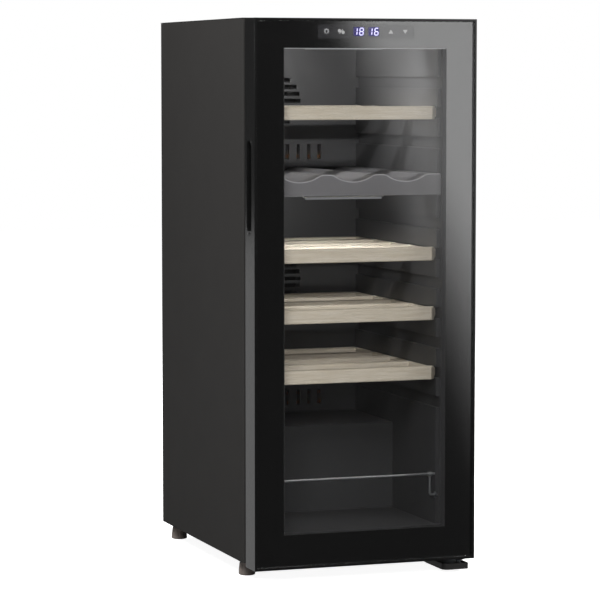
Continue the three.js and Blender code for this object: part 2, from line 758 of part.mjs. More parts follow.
const frontGlass = () => {
  const { half, low, high } = GLASS_EDGE;
  return slab(half, [DOOR_FRONT, low], [DOOR_FRONT + GLASS, high]);
};

// The black enamel on the back of the front glass, open at the window and at the display.
function printedBorder() {
  const { half, low, high } = GLASS_EDGE;
  const y0 = PRINT_BACK - PRINT;
  const window = slab(
    SIDE - BORDER_SIDE,
    [y0 - 1, DOOR_LOW + BORDER_BOTTOM],
    [PRINT_BACK + 1, DOOR_HIGH - BORDER_TOP]
  );
  const display = slab(DISPLAY_WIDTH / 2, [y0 - 1, DISPLAY.low], [PRINT_BACK + 1, DISPLAY.high]);
  return cut(slab(half, [y0, low], [PRINT_BACK, high]), window, display);
}

function innerGlass() {
  return slab(UNIT.half, [PANE_FRONT, UNIT.low], [PANE_BACK, UNIT.high]);
}

function spacerFrame() {
  return ring(LAND, PANE_FRONT - GAP, UNIT, OPENING);
}

// The plastic frame that holds the panes from behind and carries the gasket.
function innerFrame() {
  const wall = grown(OPENING, INNER_FRAME);
  const sleeve = ring(PANE_BACK + GAP, DOOR_BACK, wall, OPENING);
  const flange = ring(DOOR_BACK - INNER_FRAME, DOOR_BACK, grown(OPENING, INNER_FLANGE), OPENING);
  return join(sleeve, flange);
}

function doorGasket() {
  const inner = grown(OPENING, GASKET_INSET);
  return ring(DOOR_BACK + GAP, FRONT - GAP, grown(inner, GASKET_WIDTH), inner);
}

function displayBoard() {
  const half = DISPLAY_WIDTH / 2;
  return slab(half, [LAND, DISPLAY.low], [LAND + DISPLAY_DEPTH, DISPLAY.high]);
}

function gripInsert() {
  const y0 = -SIDE;
  const outer = stadium(GRIP_Y, GRIP_CENTRE, GRIP_HEIGHT - 2 * GAP, GRIP_LENGTH - 2 * GAP);
  const shrink = 2 * (GRIP_WALL + GAP);
  const inner = stadium(GRIP_Y, GRIP_CENTRE, GRIP_HEIGHT - shrink, GRIP_LENGTH - shrink);
  return cut(
    alongX(outer, y0, y0 + GRIP_DEPTH - GAP),
    alongX(inner, y0 - 1, y0 + GRIP_DEPTH - GAP - GRIP_WALL)
  );
}

// ---------------------------------------------------------------- hinges

const BRACKET_BACK = FRONT + BRACKET_FLANGE + 2;
const BRACKET_FRONT = DOOR_FRONT + 8;

function topHingeBracket() {
  const high = DOOR_HIGH - 1;
  const leg = FRONT - GAP;
  const plate = block(
    [PIN_X - PLATE_HALF, PIN_Y - PLATE_HALF, high - HINGE_PLATE],
    [PIN_X + PLATE_HALF, leg, high]
  );
  const drop = block(
    [PIN_X - PLATE_HALF, leg - HINGE_LEG, LIP.high + 10],
    [PIN_X + PLATE_HALF, leg, high]
  );
  const pinLow = DOOR_HIGH - HINGE_NOTCH - BUSH_LENGTH + PIN_END;
  return join(plate, drop, rod(PIN_RADIUS, [PIN_X, PIN_Y], pinLow, high - 1));
}

function bottomHingeBracket() {
  const high = BRACKET_LOW + BRACKET_PLATE;
  const x0 = PIN_X - BRACKET_INNER;
  const x1 = PIN_X + BRACKET_OUTER;
  const plate = block([x0, BRACKET_FRONT, BRACKET_LOW], [x1, BRACKET_BACK, high]);
  const riser = block([x0, BRACKET_BACK - BRACKET_FLANGE, high - 1], [x1, BRACKET_BACK, BASE - GAP]);
  const pin = rod(PIN_RADIUS, [PIN_X, PIN_Y], high - 1, DOOR_LOW + BUSH_LENGTH - PIN_END);
  return join(plate, riser, pin);
}

// A cap under the bottom bracket, with a round corner at its front left.
function bottomHingeCover() {
  const x0 = PIN_X - BRACKET_INNER - COVER_WALL;
  const x1 = PIN_X + BRACKET_OUTER + COVER_WALL;
  const y0 = BRACKET_FRONT - COVER_WALL;
  const r = COVER_CORNER;
  const e = COVER_EDGE;
  const outline = new THREE.Shape();
  outline.moveTo(x1, BRACKET_BACK);
  outline.lineTo(x0, BRACKET_BACK);
  outline.lineTo(x0, y0 + r);
  outline.absarc(x0 + r, y0 + r, r, Math.PI, 1.5 * Math.PI, false);
  outline.absarc(x1 - e, y0 + e, e, 1.5 * Math.PI, 2 * Math.PI, false);
  outline.closePath();
  const room = block(
    [x0 + COVER_WALL - GAP, y0 + COVER_WALL - GAP, BRACKET_LOW - GAP],
    [x1 - COVER_WALL + GAP, BRACKET_BACK + 1, COVER_HIGH + 1]
  );
  const cap = alongZ(outline, COVER_LOW, COVER_HIGH, 5);
  const cornerPost = block([x0, y0, BRACKET_LOW - GAP], [x0 + r, y0 + r, COVER_HIGH + 1]);
  const roundPost = rod(r, [x0 + r, y0 + r], BRACKET_LOW - 1, COVER_HIGH + 2);
  return cut(cap, room, cut(cornerPost, roundPost));
}

// A plastic sleeve on the pin; the bottom one has a flange that carries the door.
function hingeBush(low, high, flange) {
  const bore = PIN_RADIUS + PIN_CLEARANCE;
  const rim = [BUSH_FLANGE_RADIUS, low - BUSH_FLANGE];
  const profile = flange
    ? [[bore, rim[1]], rim, [BUSH_FLANGE_RADIUS, low - GAP], [BUSH_RADIUS, low - GAP]]
    : [[bore, low], [BUSH_RADIUS, low]];
  return turned([...profile, [BUSH_RADIUS, high], [bore, high], profile[0]], [PIN_X, PIN_Y]);
}

// ---------------------------------------------------------------- machine compartment

const COMPRESSOR = {
  x: -60, y: BAY.front + 102, radius: 56, low: BAY.low + 8, high: BAY.low + 122, // its shell
  plateX: 62, plateY: 52, plate: 2.5, boltX: 52, boltY: 42 // its foot plate, from the centre
};
const DRIP_TRAY = { wall: 2, height: 14 };
const CONDENSER = {
  x0: 98, x1: 138, y0: BAY.front + 32, y1: BAY.front + 172, low: BAY.low + 1, high: BAY.low + 112,
  pitch: 10, fin: 2, header: 5
};
const CONDENSER_FAN = {
  radius: 43, hub: 15, depth: 14, blades: 5, x: 76, y: BAY.front + 102, z: BAY.low + 56
};
const INLET = { x: -124, z: BAY.low + 106, radius: 8 };

function compressor() {
  const { x, y, radius, low, high } = COMPRESSOR;
  const shell = turned([
    [0, low], [radius * 0.72, low], [radius * 0.93, low + 12], [radius * 0.96, low + 46],
    [radius, low + 47], [radius, low + 53], [radius * 0.96, low + 54],
    [radius * 0.93, high - 22], [radius * 0.7, high - 6], [0, high]
  ], [x, y], 28);
  const { plateX, plateY, plate } = COMPRESSOR;
  return join(shell, block([x - plateX, y - plateY, low], [x + plateX, y + plateY, low + plate]));
}

// The strip under the compressor, with a raised boss under each corner of its foot plate.
function compressorMount() {
  const { x, y, low, plateX, plateY, boltX, boltY } = COMPRESSOR;
  const margin = 4;
  const plate = block(
    [x - plateX - margin, y - plateY - margin, BAY.low],
    [x + plateX + margin, y + plateY + margin, BAY.low + 2]
  );
  const bosses = [-1, 1].flatMap((i) => [-1, 1].map((j) =>
    rod(8, [x + i * boltX, y + j * boltY], BAY.low + 1, low - GAP, 12)));
  return join(plate, ...bosses);
}

function relayCover() {
  const { x, y, radius, low } = COMPRESSOR;
  const box = block([x - radius - 24, y - 26, low + 30], [x - radius + 4, y + 26, low + 84]);
  return cut(box, rod(radius + GAP, [x, y], low, low + 110, 28));
}

function dripTray() {
  const { x, y, high, plateX, plateY } = COMPRESSOR;
  const { wall, height } = DRIP_TRAY;
  const low = high + 2;
  const tray = block([x - plateX, y - plateY, low], [x + plateX, y + plateY, low + height]);
  return cut(tray, block(
    [x - plateX + wall, y - plateY + wall, low + wall],
    [x + plateX - wall, y + plateY - wall, low + height + 1]
  ));
}

// A fin block: plates between a top and a bottom header.
function condenser() {
  const { x0, x1, y0, y1, low, high, pitch, fin, header } = CONDENSER;
  const gaps = [];
  for (let y = y0 + fin; y + pitch <= y1; y += pitch) {
    gaps.push(block([x0 - 1, y, low + header], [x1 + 1, y + pitch - fin, high - header]));
  }
  return cut(block([x0, y0, low], [x1, y1, high]), ...gaps);
}

function fanShroud() {
  const { x0, y0, y1, low, high } = CONDENSER;
  const { radius, y, z } = CONDENSER_FAN;
  const plate = block([x0 - 5, y0, low], [x0 - 3, y1, high]);
  const hole = alongX(circle(y, z, radius + 4), x0 - 6, x0 - 2, 16);
  const bar = block([x0 - 5, y0 + 2, z - 5], [x0 - 3, y1 - 2, z + 5]);
  return join(cut(plate, hole), bar);
}

function condenserFan() {
  const { radius, hub, depth, blades, x, y, z } = CONDENSER_FAN;
  return fanWheel(radius, hub, depth, blades).rotateY(Math.PI / 2).translate(x, y, z);
}

function controlBox() {
  return block(
    [-BAY.half + 3, BAY.front + 20, BAY.low + 20],
    [-BAY.half + 27, BAY.front + 120, BAY.low + 110]
  );
}

function filterDrier() {
  const z = BAY.low + 24;
  return turned([
    [0, z], [3, z], [3, z + 8], [9, z + 16], [9, z + 66], [3, z + 74], [3, z + 82], [0, z + 82]
  ], [36, CONDENSER.y1 - 8], 16);
}

function dischargePipe() {
  const { x, y, radius, low } = COMPRESSOR;
  const start = x + radius + GAP;
  const over = CONDENSER.high + 9;
  return wire([
    [start, y, low + 70],
    [start + 26, y, low + 70],
    [start + 26, y, over],
    [CONDENSER.x1 - 15, y, over],
    [CONDENSER.x1 - 15, y, CONDENSER.high + GAP]
  ], 3, 8);
}

// The bush where a mains lead enters, with a bore for it.
function mainsInlet() {
  const { x, z, radius } = INLET;
  const profile = [
    [3.5, -4], [radius, -4], [radius, GAP], [radius + 4, GAP], [radius + 4, 3],
    [radius, 4], [6, 9], [3.5, 9], [3.5, -4]
  ];
  return turned(profile, [0, 0], 20).rotateX(-Math.PI / 2).translate(x, BACK, z);
}

// ---------------------------------------------------------------- feet and spacers

// A levelling foot: a pad, its lock nut and the threaded stud.
function foot({ x, y }) {
  const nutTop = FOOT_HEIGHT - 2 * GAP;
  return turned([
    [0, 0], [FOOT_RADIUS - 1, 0], [FOOT_RADIUS, 1.5], [FOOT_RADIUS - 1.5, FOOT_HEIGHT - 6],
    [LOCK_NUT_RADIUS, FOOT_HEIGHT - 5], [LOCK_NUT_RADIUS, nutTop], [STUD_RADIUS, nutTop],
    [STUD_RADIUS, FOOT_HEIGHT + STUD_LENGTH], [0, FOOT_HEIGHT + STUD_LENGTH]
  ], [x, y], 20);
}

function wallSpacer(side) {
  const x = side * SPACER_FROM_CENTRE;
  const z = TOP - SPACER_FROM_TOP;
  const tall = SPACER_HEIGHT / 2;
  const end = tall - SPACER_TAPER;
  const outline = polygon([
    [BACK + GAP, z - tall], [BACK + SPACER_DEPTH, z - end],
    [BACK + SPACER_DEPTH, z + end], [BACK + GAP, z + tall]
  ]);
  return alongX(outline, x - SPACER_WIDTH / 2, x + SPACER_WIDTH / 2);
}

// ---------------------------------------------------------------- assembly

add('left_side_panel', sidePanel(-1), M.panel);
add('right_side_panel', sidePanel(1), M.panel);
add('top_panel', topPanel(), M.panel);
add('back_panel', backPanel(), M.panel);
add('base_plate', basePlate(), M.panel);
add('inner_liner', innerLiner(), M.liner);
add('foam_insulation', foamInsulation(), M.foam);
add('zone_divider', zoneDivider(), M.greyPlastic);

for (const duct of DUCTS) {
  add(`${duct.name}_duct_cover`, ductCover(duct), M.plastic);
  add(`${duct.name}_fan`, ductFan(duct), M.white);
  add(`${duct.name}_evaporator`, evaporator(duct), M.aluminium);
}
add('upper_led_bar', ledBar(CEILING - GAP), M.white);
add('lower_led_bar', ledBar(DIVIDER_LOW - GAP), M.white);
add('upper_sensor', sensor(DIVIDER_TOP + UPPER_SENSOR_RISE), M.white);
add('lower_sensor', sensor(DIVIDER_LOW - LOWER_SENSOR_DROP), M.white);
add('guard_rail', guardRail(), M.chrome);

SHELF_TOPS.forEach((top, i) => {
  add(`shelf_${i + 1}_front`, shelfFront(top), M.beech);
  add(`shelf_${i + 1}_rack`, shelfRack(top), M.beech);
});

add('door_frame', doorFrame(), M.frame);
add('front_glass', frontGlass(), M.glass);
add('printed_border', printedBorder(), M.print);
add('pane_spacer', spacerFrame(), M.aluminium);
add('inner_glass', innerGlass(), M.glass);
add('door_inner_frame', innerFrame(), M.plastic);
add('door_gasket', doorGasket(), M.rubber);
add('display_board', displayBoard(), M.display);
add('grip_insert', gripInsert(), M.plastic);
add('top_hinge_bush', hingeBush(
  DOOR_HIGH - HINGE_NOTCH - BUSH_LENGTH + GAP, DOOR_HIGH - HINGE_NOTCH, false
), M.white);
add('bottom_hinge_bush', hingeBush(DOOR_LOW, DOOR_LOW + BUSH_LENGTH, true), M.plastic);

add('top_hinge_bracket', topHingeBracket(), M.zinc);
add('bottom_hinge_bracket', bottomHingeBracket(), M.zinc);
add('bottom_hinge_cover', bottomHingeCover(), M.plastic);

add('compartment_sheet', compartmentSheet(), M.zinc);
add('rear_grille', rearGrille(), M.panel);
add('compressor', compressor(), M.compressorPaint);
add('compressor_mount', compressorMount(), M.zinc);
add('relay_cover', relayCover(), M.plastic);
add('drip_tray', dripTray(), M.plastic);
add('condenser', condenser(), M.aluminium);
add('fan_shroud', fanShroud(), M.zinc);
add('condenser_fan', condenserFan(), M.plastic);
add('discharge_pipe', dischargePipe(), M.copper);
add('filter_drier', filterDrier(), M.copper);
add('control_box', controlBox(), M.white);
add('mains_inlet', mainsInlet(), M.plastic);

for (const place of FEET) add(`foot_${place.name}`, foot(place), M.footRubber);
add('wall_spacer_left', wallSpacer(-1), M.plastic);
add('wall_spacer_right', wallSpacer(1), M.plastic);

export default cooler;
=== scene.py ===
"""A slim two-zone wine cooler: its looks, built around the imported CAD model.

Metres, +Z up, the door faces -Y.
"""

import json
import math

import bmesh
import bpy
from mathutils import Matrix, Vector

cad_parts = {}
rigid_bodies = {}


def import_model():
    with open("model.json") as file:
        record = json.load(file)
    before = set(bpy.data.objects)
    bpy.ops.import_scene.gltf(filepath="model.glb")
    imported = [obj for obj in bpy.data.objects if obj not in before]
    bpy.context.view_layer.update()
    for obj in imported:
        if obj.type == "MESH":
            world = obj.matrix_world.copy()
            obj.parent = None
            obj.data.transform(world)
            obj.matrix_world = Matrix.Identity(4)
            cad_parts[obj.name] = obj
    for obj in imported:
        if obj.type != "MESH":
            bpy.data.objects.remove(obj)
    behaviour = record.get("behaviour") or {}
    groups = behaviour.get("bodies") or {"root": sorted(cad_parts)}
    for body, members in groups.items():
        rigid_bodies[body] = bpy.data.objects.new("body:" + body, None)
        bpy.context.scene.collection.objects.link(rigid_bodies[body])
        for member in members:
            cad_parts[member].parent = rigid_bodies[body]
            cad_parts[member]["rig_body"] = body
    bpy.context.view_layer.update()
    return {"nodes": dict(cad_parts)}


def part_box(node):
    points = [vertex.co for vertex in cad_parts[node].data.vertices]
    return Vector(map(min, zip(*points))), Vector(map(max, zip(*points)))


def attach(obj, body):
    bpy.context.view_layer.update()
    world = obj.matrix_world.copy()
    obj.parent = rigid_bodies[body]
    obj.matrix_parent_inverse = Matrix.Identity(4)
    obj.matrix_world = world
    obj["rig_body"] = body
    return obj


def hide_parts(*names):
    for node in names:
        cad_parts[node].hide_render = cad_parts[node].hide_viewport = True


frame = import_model()
MM = 0.001

# ------------------------------------------------------------ camera

CAMERA_PLACE = (-1.4321, -3.9909, 0.7346)
CAMERA_YAW = 19.504  # degrees to the right of straight back
CAMERA_PITCH = 4.594  # degrees down
CAMERA_LENS = 165.6  # mm on a 36 mm wide sensor


def make_camera():
    data = bpy.data.cameras.new("camera")
    data.lens = CAMERA_LENS
    data.sensor_width = 36
    data.clip_end = 50
    camera = bpy.data.objects.new("camera", data)
    camera.location = CAMERA_PLACE
    camera.rotation_euler = (math.radians(90 - CAMERA_PITCH), 0, math.radians(-CAMERA_YAW))
    bpy.context.scene.collection.objects.link(camera)
    bpy.context.scene.camera = camera


make_camera()

# ------------------------------------------------------------ places, from the CAD nodes


def low(node):
    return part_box(node)[0]


def high(node):
    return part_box(node)[1]


SIDE = high("right_side_panel").x
FRONT = low("left_side_panel").y  # the cabinet's front plane
BACK = high("left_side_panel").y
BASE = low("left_side_panel").z
TOP = high("top_panel").z
DOOR_FRONT = low("front_glass").y
DOOR_LOW = low("door_frame").z
DOOR_HIGH = high("door_frame").z
STEEL = 1 * MM  # outer sheet
SHARP = 38  # degrees: edges that bend by more are rounded or kept sharp

# ------------------------------------------------------------ helpers for meshes


def link(name, mesh, *materials):
    """A new object at the origin with this mesh and these materials."""
    piece = bpy.data.objects.new(name, mesh)
    bpy.context.scene.collection.objects.link(piece)
    for slot, material in enumerate(materials):
        if slot < len(mesh.materials):
            mesh.materials[slot] = material
        else:
            mesh.materials.append(material)
    return piece


def settled(piece):
    """Turns a piece's modifiers into plain mesh."""
    graph = bpy.context.evaluated_depsgraph_get()
    mesh = bpy.data.meshes.new_from_object(piece.evaluated_get(graph))
    piece.modifiers.clear()
    piece.data = mesh
    return piece


def mark_edges(bm):
    """Smooth faces, with an edge kept sharp where its faces meet at a sharp angle."""
    limit = math.radians(SHARP)
    for face in bm.faces:
        face.smooth = True
    for edge in bm.edges:
        edge.smooth = edge.calc_face_angle(0) < limit


def rounded_edges(piece, width, segments=2, angle=SHARP):
    """Rounds the sharp edges, in mm, and leaves the faces between them flat."""
    bevel = piece.modifiers.new("edges", "BEVEL")
    bevel.width = width * MM
    bevel.segments = segments
    bevel.limit_method = "ANGLE"
    bevel.angle_limit = math.radians(angle)
    bevel.use_clamp_overlap = True
    bevel.miter_outer = "MITER_ARC"
    normals = piece.modifiers.new("normals", "WEIGHTED_NORMAL")
    normals.keep_sharp = True
    return settled(piece)


def clean_copy(node):
    """A CAD node's mesh with its doubles merged."""
    mesh = frame["nodes"][node].data.copy()
    bm = bmesh.new()
    bm.from_mesh(mesh)
    bmesh.ops.remove_doubles(bm, verts=bm.verts, dist=2e-6)
    mark_edges(bm)
    bm.to_mesh(mesh)
    bm.free()
    return mesh


def body_of(node):
    return frame["nodes"][node]["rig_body"]


def stand_in(piece, *nodes):
    """The piece is shown in place of these CAD nodes and moves with their body."""
    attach(piece, body_of(nodes[0]))
    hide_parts(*nodes)
    return piece


def refined(node, material, width, segments=2):
    """A CAD node with its edges rounded, shown in its place."""
    piece = link(node + "_finish", clean_copy(node), material)
    rounded_edges(piece, width, segments)
    lowest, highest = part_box(node)
    for vertex in piece.data.vertices:
        vertex.co = [min(max(v, a), b) for v, a, b in zip(vertex.co, lowest, highest)]
    return stand_in(piece, node)


def extra(piece, body):
    """A piece that the CAD model doesn't have."""
    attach(piece, body)
    return piece


# ------------------------------------------------------------ helpers for shapes

PLANE = {"x": (1, 2, 0), "y": (0, 2, 1), "z": (0, 1, 2)}  # an outline's two axes, then its depth


def fillet(points, radius, steps=5, closed=True):
    """A flat outline with its corners turned into arcs."""
    out = []
    last = len(points) - 1
    for i, point in enumerate(points):
        here = Vector(point)
        if not closed and i in (0, last):
            out.append(here)
            continue
        before = Vector(points[i - 1]) - here
        after = Vector(points[(i + 1) % len(points)]) - here
        half = before.angle(after) / 2
        reach = min(radius / math.tan(half), before.length * 0.49, after.length * 0.49)
        r = reach * math.tan(half)
        middle = here + (before.normalized() + after.normalized()).normalized() * r / math.sin(half)
        start, end = here + before.normalized() * reach, here + after.normalized() * reach
        first = math.atan2(start.y - middle.y, start.x - middle.x)
        sweep = math.atan2(end.y - middle.y, end.x - middle.x) - first
        sweep = (sweep + math.pi) % (2 * math.pi) - math.pi
        for k in range(steps + 1):
            angle = first + sweep * k / steps
            out.append(middle + r * Vector((math.cos(angle), math.sin(angle))))
    return out


def strip(path, thickness):
    """The outline of a folded sheet that follows an open path and lies to its left."""
    inner = []
    for i, here in enumerate(path):
        ahead = (path[min(i + 1, len(path) - 1)] - here).normalized()
        behind = (here - path[max(i - 1, 0)]).normalized()
        along = (ahead + behind).normalized()
        across = Vector((-along.y, along.x))
        lean = max(0.5, along.dot(ahead if ahead.length else behind))
        inner.append(here + across * thickness / lean)
    return path + inner[::-1]


def as_mesh(bm):
    """Closes a bmesh: doubles merged, faces pointing out, smooth except at the sharp edges."""
    bmesh.ops.remove_doubles(bm, verts=bm.verts, dist=1e-6)
    bmesh.ops.recalc_face_normals(bm, faces=bm.faces)
    mark_edges(bm)
    mesh = bpy.data.meshes.new("shape")
    bm.to_mesh(mesh)
    bm.free()
    return mesh


def loft(rings, wraps=False):
    """Skins a row of rings that have the same number of points."""
    bm = bmesh.new()
    rows = [[bm.verts.new(place) for place in ring] for ring in rings]
    pairs = list(zip(rows, rows[1:] + rows[:1])) if wraps else list(zip(rows, rows[1:]))
    for one, two in pairs:
        for n in range(len(one)):
            m = (n + 1) % len(one)
            bm.faces.new((one[n], one[m], two[m], two[n]))
    if not wraps:
        bm.faces.new(rows[0])
        bm.faces.new(rows[-1])
    return as_mesh(bm)


def prism(outline, axis, a, b):
    """An outline drawn across an axis, standing from a to b along it."""
    i, j, k = PLANE[axis]
    rings = []
    for depth in (a, b):
        ring = []
        for u, v in outline:
            place = [0, 0, 0]
            place[i], place[j], place[k] = u, v, depth
            ring.append(place)
        rings.append(ring)
    return loft(rings)


def flat_sheet(corners):
    """A single flat face."""
    mesh = bpy.data.meshes.new("sheet")
    mesh.from_pydata(corners, [], [range(len(corners))])
    return mesh


def box(lowest, highest):
    (x0, y0, z0), (x1, y1, z1) = lowest, highest
    return prism([(x0, y0), (x1, y0), (x1, y1), (x0, y1)], "z", z0, z1)


def lathe(profile, middle, axis="z", steps=48):
    """A turned shape from (radius, height) pairs; middle is its place across the axis."""
    i, j, k = PLANE[axis]
    bm = bmesh.new()
    rows = []
    for radius, height in profile:
        row = []
        for n in range(steps if radius else 1):
            angle = 2 * math.pi * n / steps
            place = [0, 0, 0]
            place[i] = middle[0] + radius * math.cos(angle)
            place[j] = middle[1] + radius * math.sin(angle)
            place[k] = height
            row.append(bm.verts.new(place))
        rows.append(row)
    for one, two in zip(rows, rows[1:]):
        for n in range(steps):
            m = (n + 1) % steps
            corners = [one[n % len(one)], one[m % len(one)], two[m % len(two)], two[n % len(two)]]
            corners = list(dict.fromkeys(corners))
            if len(corners) > 2:
                bm.faces.new(corners)
    return as_mesh(bm)


def turned(profile, start, middle, axis="z", steps=48):
    """A lathe shape with its profile in mm and its heights counted from start."""
    return lathe([(r * MM, start + h * MM) for r, h in profile], middle, axis, steps)


def mitred_ring(profile, half, bottom, top):
    """A section swept round an upright rectangle; the section is (outwards, y) pairs."""
    rings = []
    for sx, sz, z in ((-1, -1, bottom), (1, -1, bottom), (1, 1, top), (-1, 1, top)):
        rings.append([(sx * (half + u), y, z + sz * u) for u, y in profile])
    return loft(rings, wraps=True)


def bent(points, bend):
    """A route with each corner rounded."""
    steps = 6
    places = [Vector(p) for p in points]
    out = [places[0]]
    for before, corner, after in zip(places, places[1:], places[2:]):
        a = corner + (before - corner).normalized() * bend
        b = corner + (after - corner).normalized() * bend
        for k in range(steps + 1):
            t = k / steps
            out.append(a.lerp(corner, t).lerp(corner.lerp(b, t), t))
    return out + [places[-1]]


def tube(points, radius, sides=4):
    """A round wire or pipe with closed ends."""
    curve = bpy.data.curves.new("tube", "CURVE")
    curve.dimensions = "3D"
    curve.bevel_depth = radius
    curve.bevel_resolution = sides
    curve.use_fill_caps = True
    spline = curve.splines.new("POLY")
    spline.points.add(len(points) - 1)
    for point, place in zip(spline.points, points):
        point.co = (*place, 1)
    piece = bpy.data.objects.new("tube", curve)
    bpy.context.scene.collection.objects.link(piece)
    mesh = bpy.data.meshes.new_from_object(
        piece.evaluated_get(bpy.context.evaluated_depsgraph_get()))
    bpy.data.objects.remove(piece)
    bm = bmesh.new()
    bm.from_mesh(mesh)
    return as_mesh(bm)


def made_of(name, *parts):
    """One object from (mesh, material) pairs."""
    bm = bmesh.new()
    materials = []
    for mesh, material in parts:
        if material not in materials:
            materials.append(material)
        known = len(bm.faces)
        bm.from_mesh(mesh)
        bm.faces.ensure_lookup_table()
        for face in bm.faces[known:]:
            face.material_index = materials.index(material)
    mesh = bpy.data.meshes.new(name)
    bm.to_mesh(mesh)
    bm.free()
    return link(name, mesh, *materials)


# ------------------------------------------------------------ helpers for node trees


def linear(hex_colour):
    """An sRGB hex value as linear RGBA."""
    out = []
    for i in (0, 2, 4):
        v = int(hex_colour[i : i + 2], 16) / 255
        out.append(v / 12.92 if v <= 0.04045 else ((v + 0.055) / 1.055) ** 2.4)
    return (*out, 1)


def add(tree, kind, inputs=None, **settings):
    """Adds a node, sets its properties, and sets or links its inputs."""
    node = tree.nodes.new(kind)
    for name, value in settings.items():
        setattr(node, name, value)
    for name, value in (inputs or {}).items():
        if isinstance(value, bpy.types.NodeSocket):
            tree.links.new(value, node.inputs[name])
        else:
            node.inputs[name].default_value = value
    return node


def node_group(name, **inputs):
    """A geometry node group with these named inputs; the values are the kinds of socket."""
    tree = bpy.data.node_groups.new(name, "GeometryNodeTree")
    tree.interface.new_socket("Geometry", in_out="INPUT", socket_type="NodeSocketGeometry")
    for label, kind in inputs.items():
        tree.interface.new_socket(label, in_out="INPUT", socket_type="NodeSocket" + kind)
    tree.interface.new_socket("Geometry", in_out="OUTPUT", socket_type="NodeSocketGeometry")
    return tree, tree.nodes.new("NodeGroupInput").outputs


def finish_group(tree, given, instances):
    """Ends a group: the instances made real, with their material."""
    real = add(tree, "GeometryNodeRealizeInstances", {"Geometry": instances})
    painted = add(tree, "GeometryNodeSetMaterial", {
        "Geometry": real.outputs[0], "Material": given["Material"]})
    tree.links.new(painted.outputs[0], tree.nodes.new("NodeGroupOutput").inputs[0])
    return tree


def row_of_bars():
    """Equal bars in a row: slats, fins and ribs."""
    tree, given = node_group("row_of_bars", Start="Vector", Step="Vector", Count="Int",
                             Size="Vector", Material="Material")
    line = add(tree, "GeometryNodeMeshLine", {
        "Count": given["Count"], "Start Location": given["Start"], "Offset": given["Step"]})
    bar = add(tree, "GeometryNodeMeshCube", {"Size": given["Size"]})
    copies = add(tree, "GeometryNodeInstanceOnPoints", {
        "Points": line.outputs[0], "Instance": bar.outputs["Mesh"]})
    return finish_group(tree, given, copies.outputs[0])


def scattered_heads():
    """A fastener's head on each point, each turned by its own angle."""
    tree, given = node_group("screws", Head="Object", Turn="Vector", Seed="Int",
                             Material="Material")
    head = add(tree, "GeometryNodeObjectInfo", {"Object": given["Head"]})
    copies = add(tree, "GeometryNodeInstanceOnPoints", {
        "Points": given["Geometry"], "Instance": head.outputs["Geometry"],
        "Rotation": given["Turn"]})
    roll = add(tree, "FunctionNodeRandomValue", {"Max": 2 * math.pi, "Seed": given["Seed"]})
    spin = add(tree, "ShaderNodeCombineXYZ", {"Z": roll.outputs[1]})
    rolled = add(tree, "GeometryNodeRotateInstances", {
        "Instances": copies.outputs[0], "Rotation": spin.outputs[0]})
    return finish_group(tree, given, rolled.outputs[0])


def ring_of_copies():
    """Copies of an object turned round its own Z axis: fan blades."""
    tree, given = node_group("ring_of_copies", Copy="Object", Count="Int", Material="Material")
    line = add(tree, "GeometryNodeMeshLine", {"Count": given["Count"], "Offset": (0, 0, 0)})
    part = add(tree, "GeometryNodeObjectInfo", {"Object": given["Copy"]})
    index = add(tree, "GeometryNodeInputIndex")
    share = add(tree, "ShaderNodeMath", {0: index.outputs[0], 1: given["Count"]}, operation="DIVIDE")
    angle = add(tree, "ShaderNodeMath", {0: share.outputs[0], 1: 2 * math.pi}, operation="MULTIPLY")
    turn = add(tree, "ShaderNodeCombineXYZ", {"Z": angle.outputs[0]})
    copies = add(tree, "GeometryNodeInstanceOnPoints", {
        "Points": line.outputs[0], "Instance": part.outputs["Geometry"],
        "Rotation": turn.outputs[0]})
    return finish_group(tree, given, copies.outputs[0])


ROW_OF_BARS = row_of_bars()
SCREWS = scattered_heads()
RING_OF_COPIES = ring_of_copies()


def generated(name, tree, points=(), **values):
    """The plain mesh that a node group makes from these points and input values."""
    mesh = bpy.data.meshes.new(name)
    mesh.from_pydata([tuple(p) for p in points], [], [])
    piece = link(name, mesh)
    modifier = piece.modifiers.new("nodes", "NODES")
    modifier.node_group = tree
    for item in tree.interface.items_tree:
        if item.in_out == "INPUT" and item.name in values:
            modifier[item.identifier] = values[item.name]
    return settled(piece)


def taken(piece):
    """The mesh of a helper object, which is removed."""
    mesh = piece.data
    bpy.data.objects.remove(piece)
    return mesh


# ------------------------------------------------------------ helpers for materials


def new_material(name):
    """An empty material, its node tree and its output node."""
    material = bpy.data.materials.new(name)
    material.use_nodes = True
    tree = material.node_tree
    tree.nodes.clear()
    return material, tree, tree.nodes.new("ShaderNodeOutputMaterial")


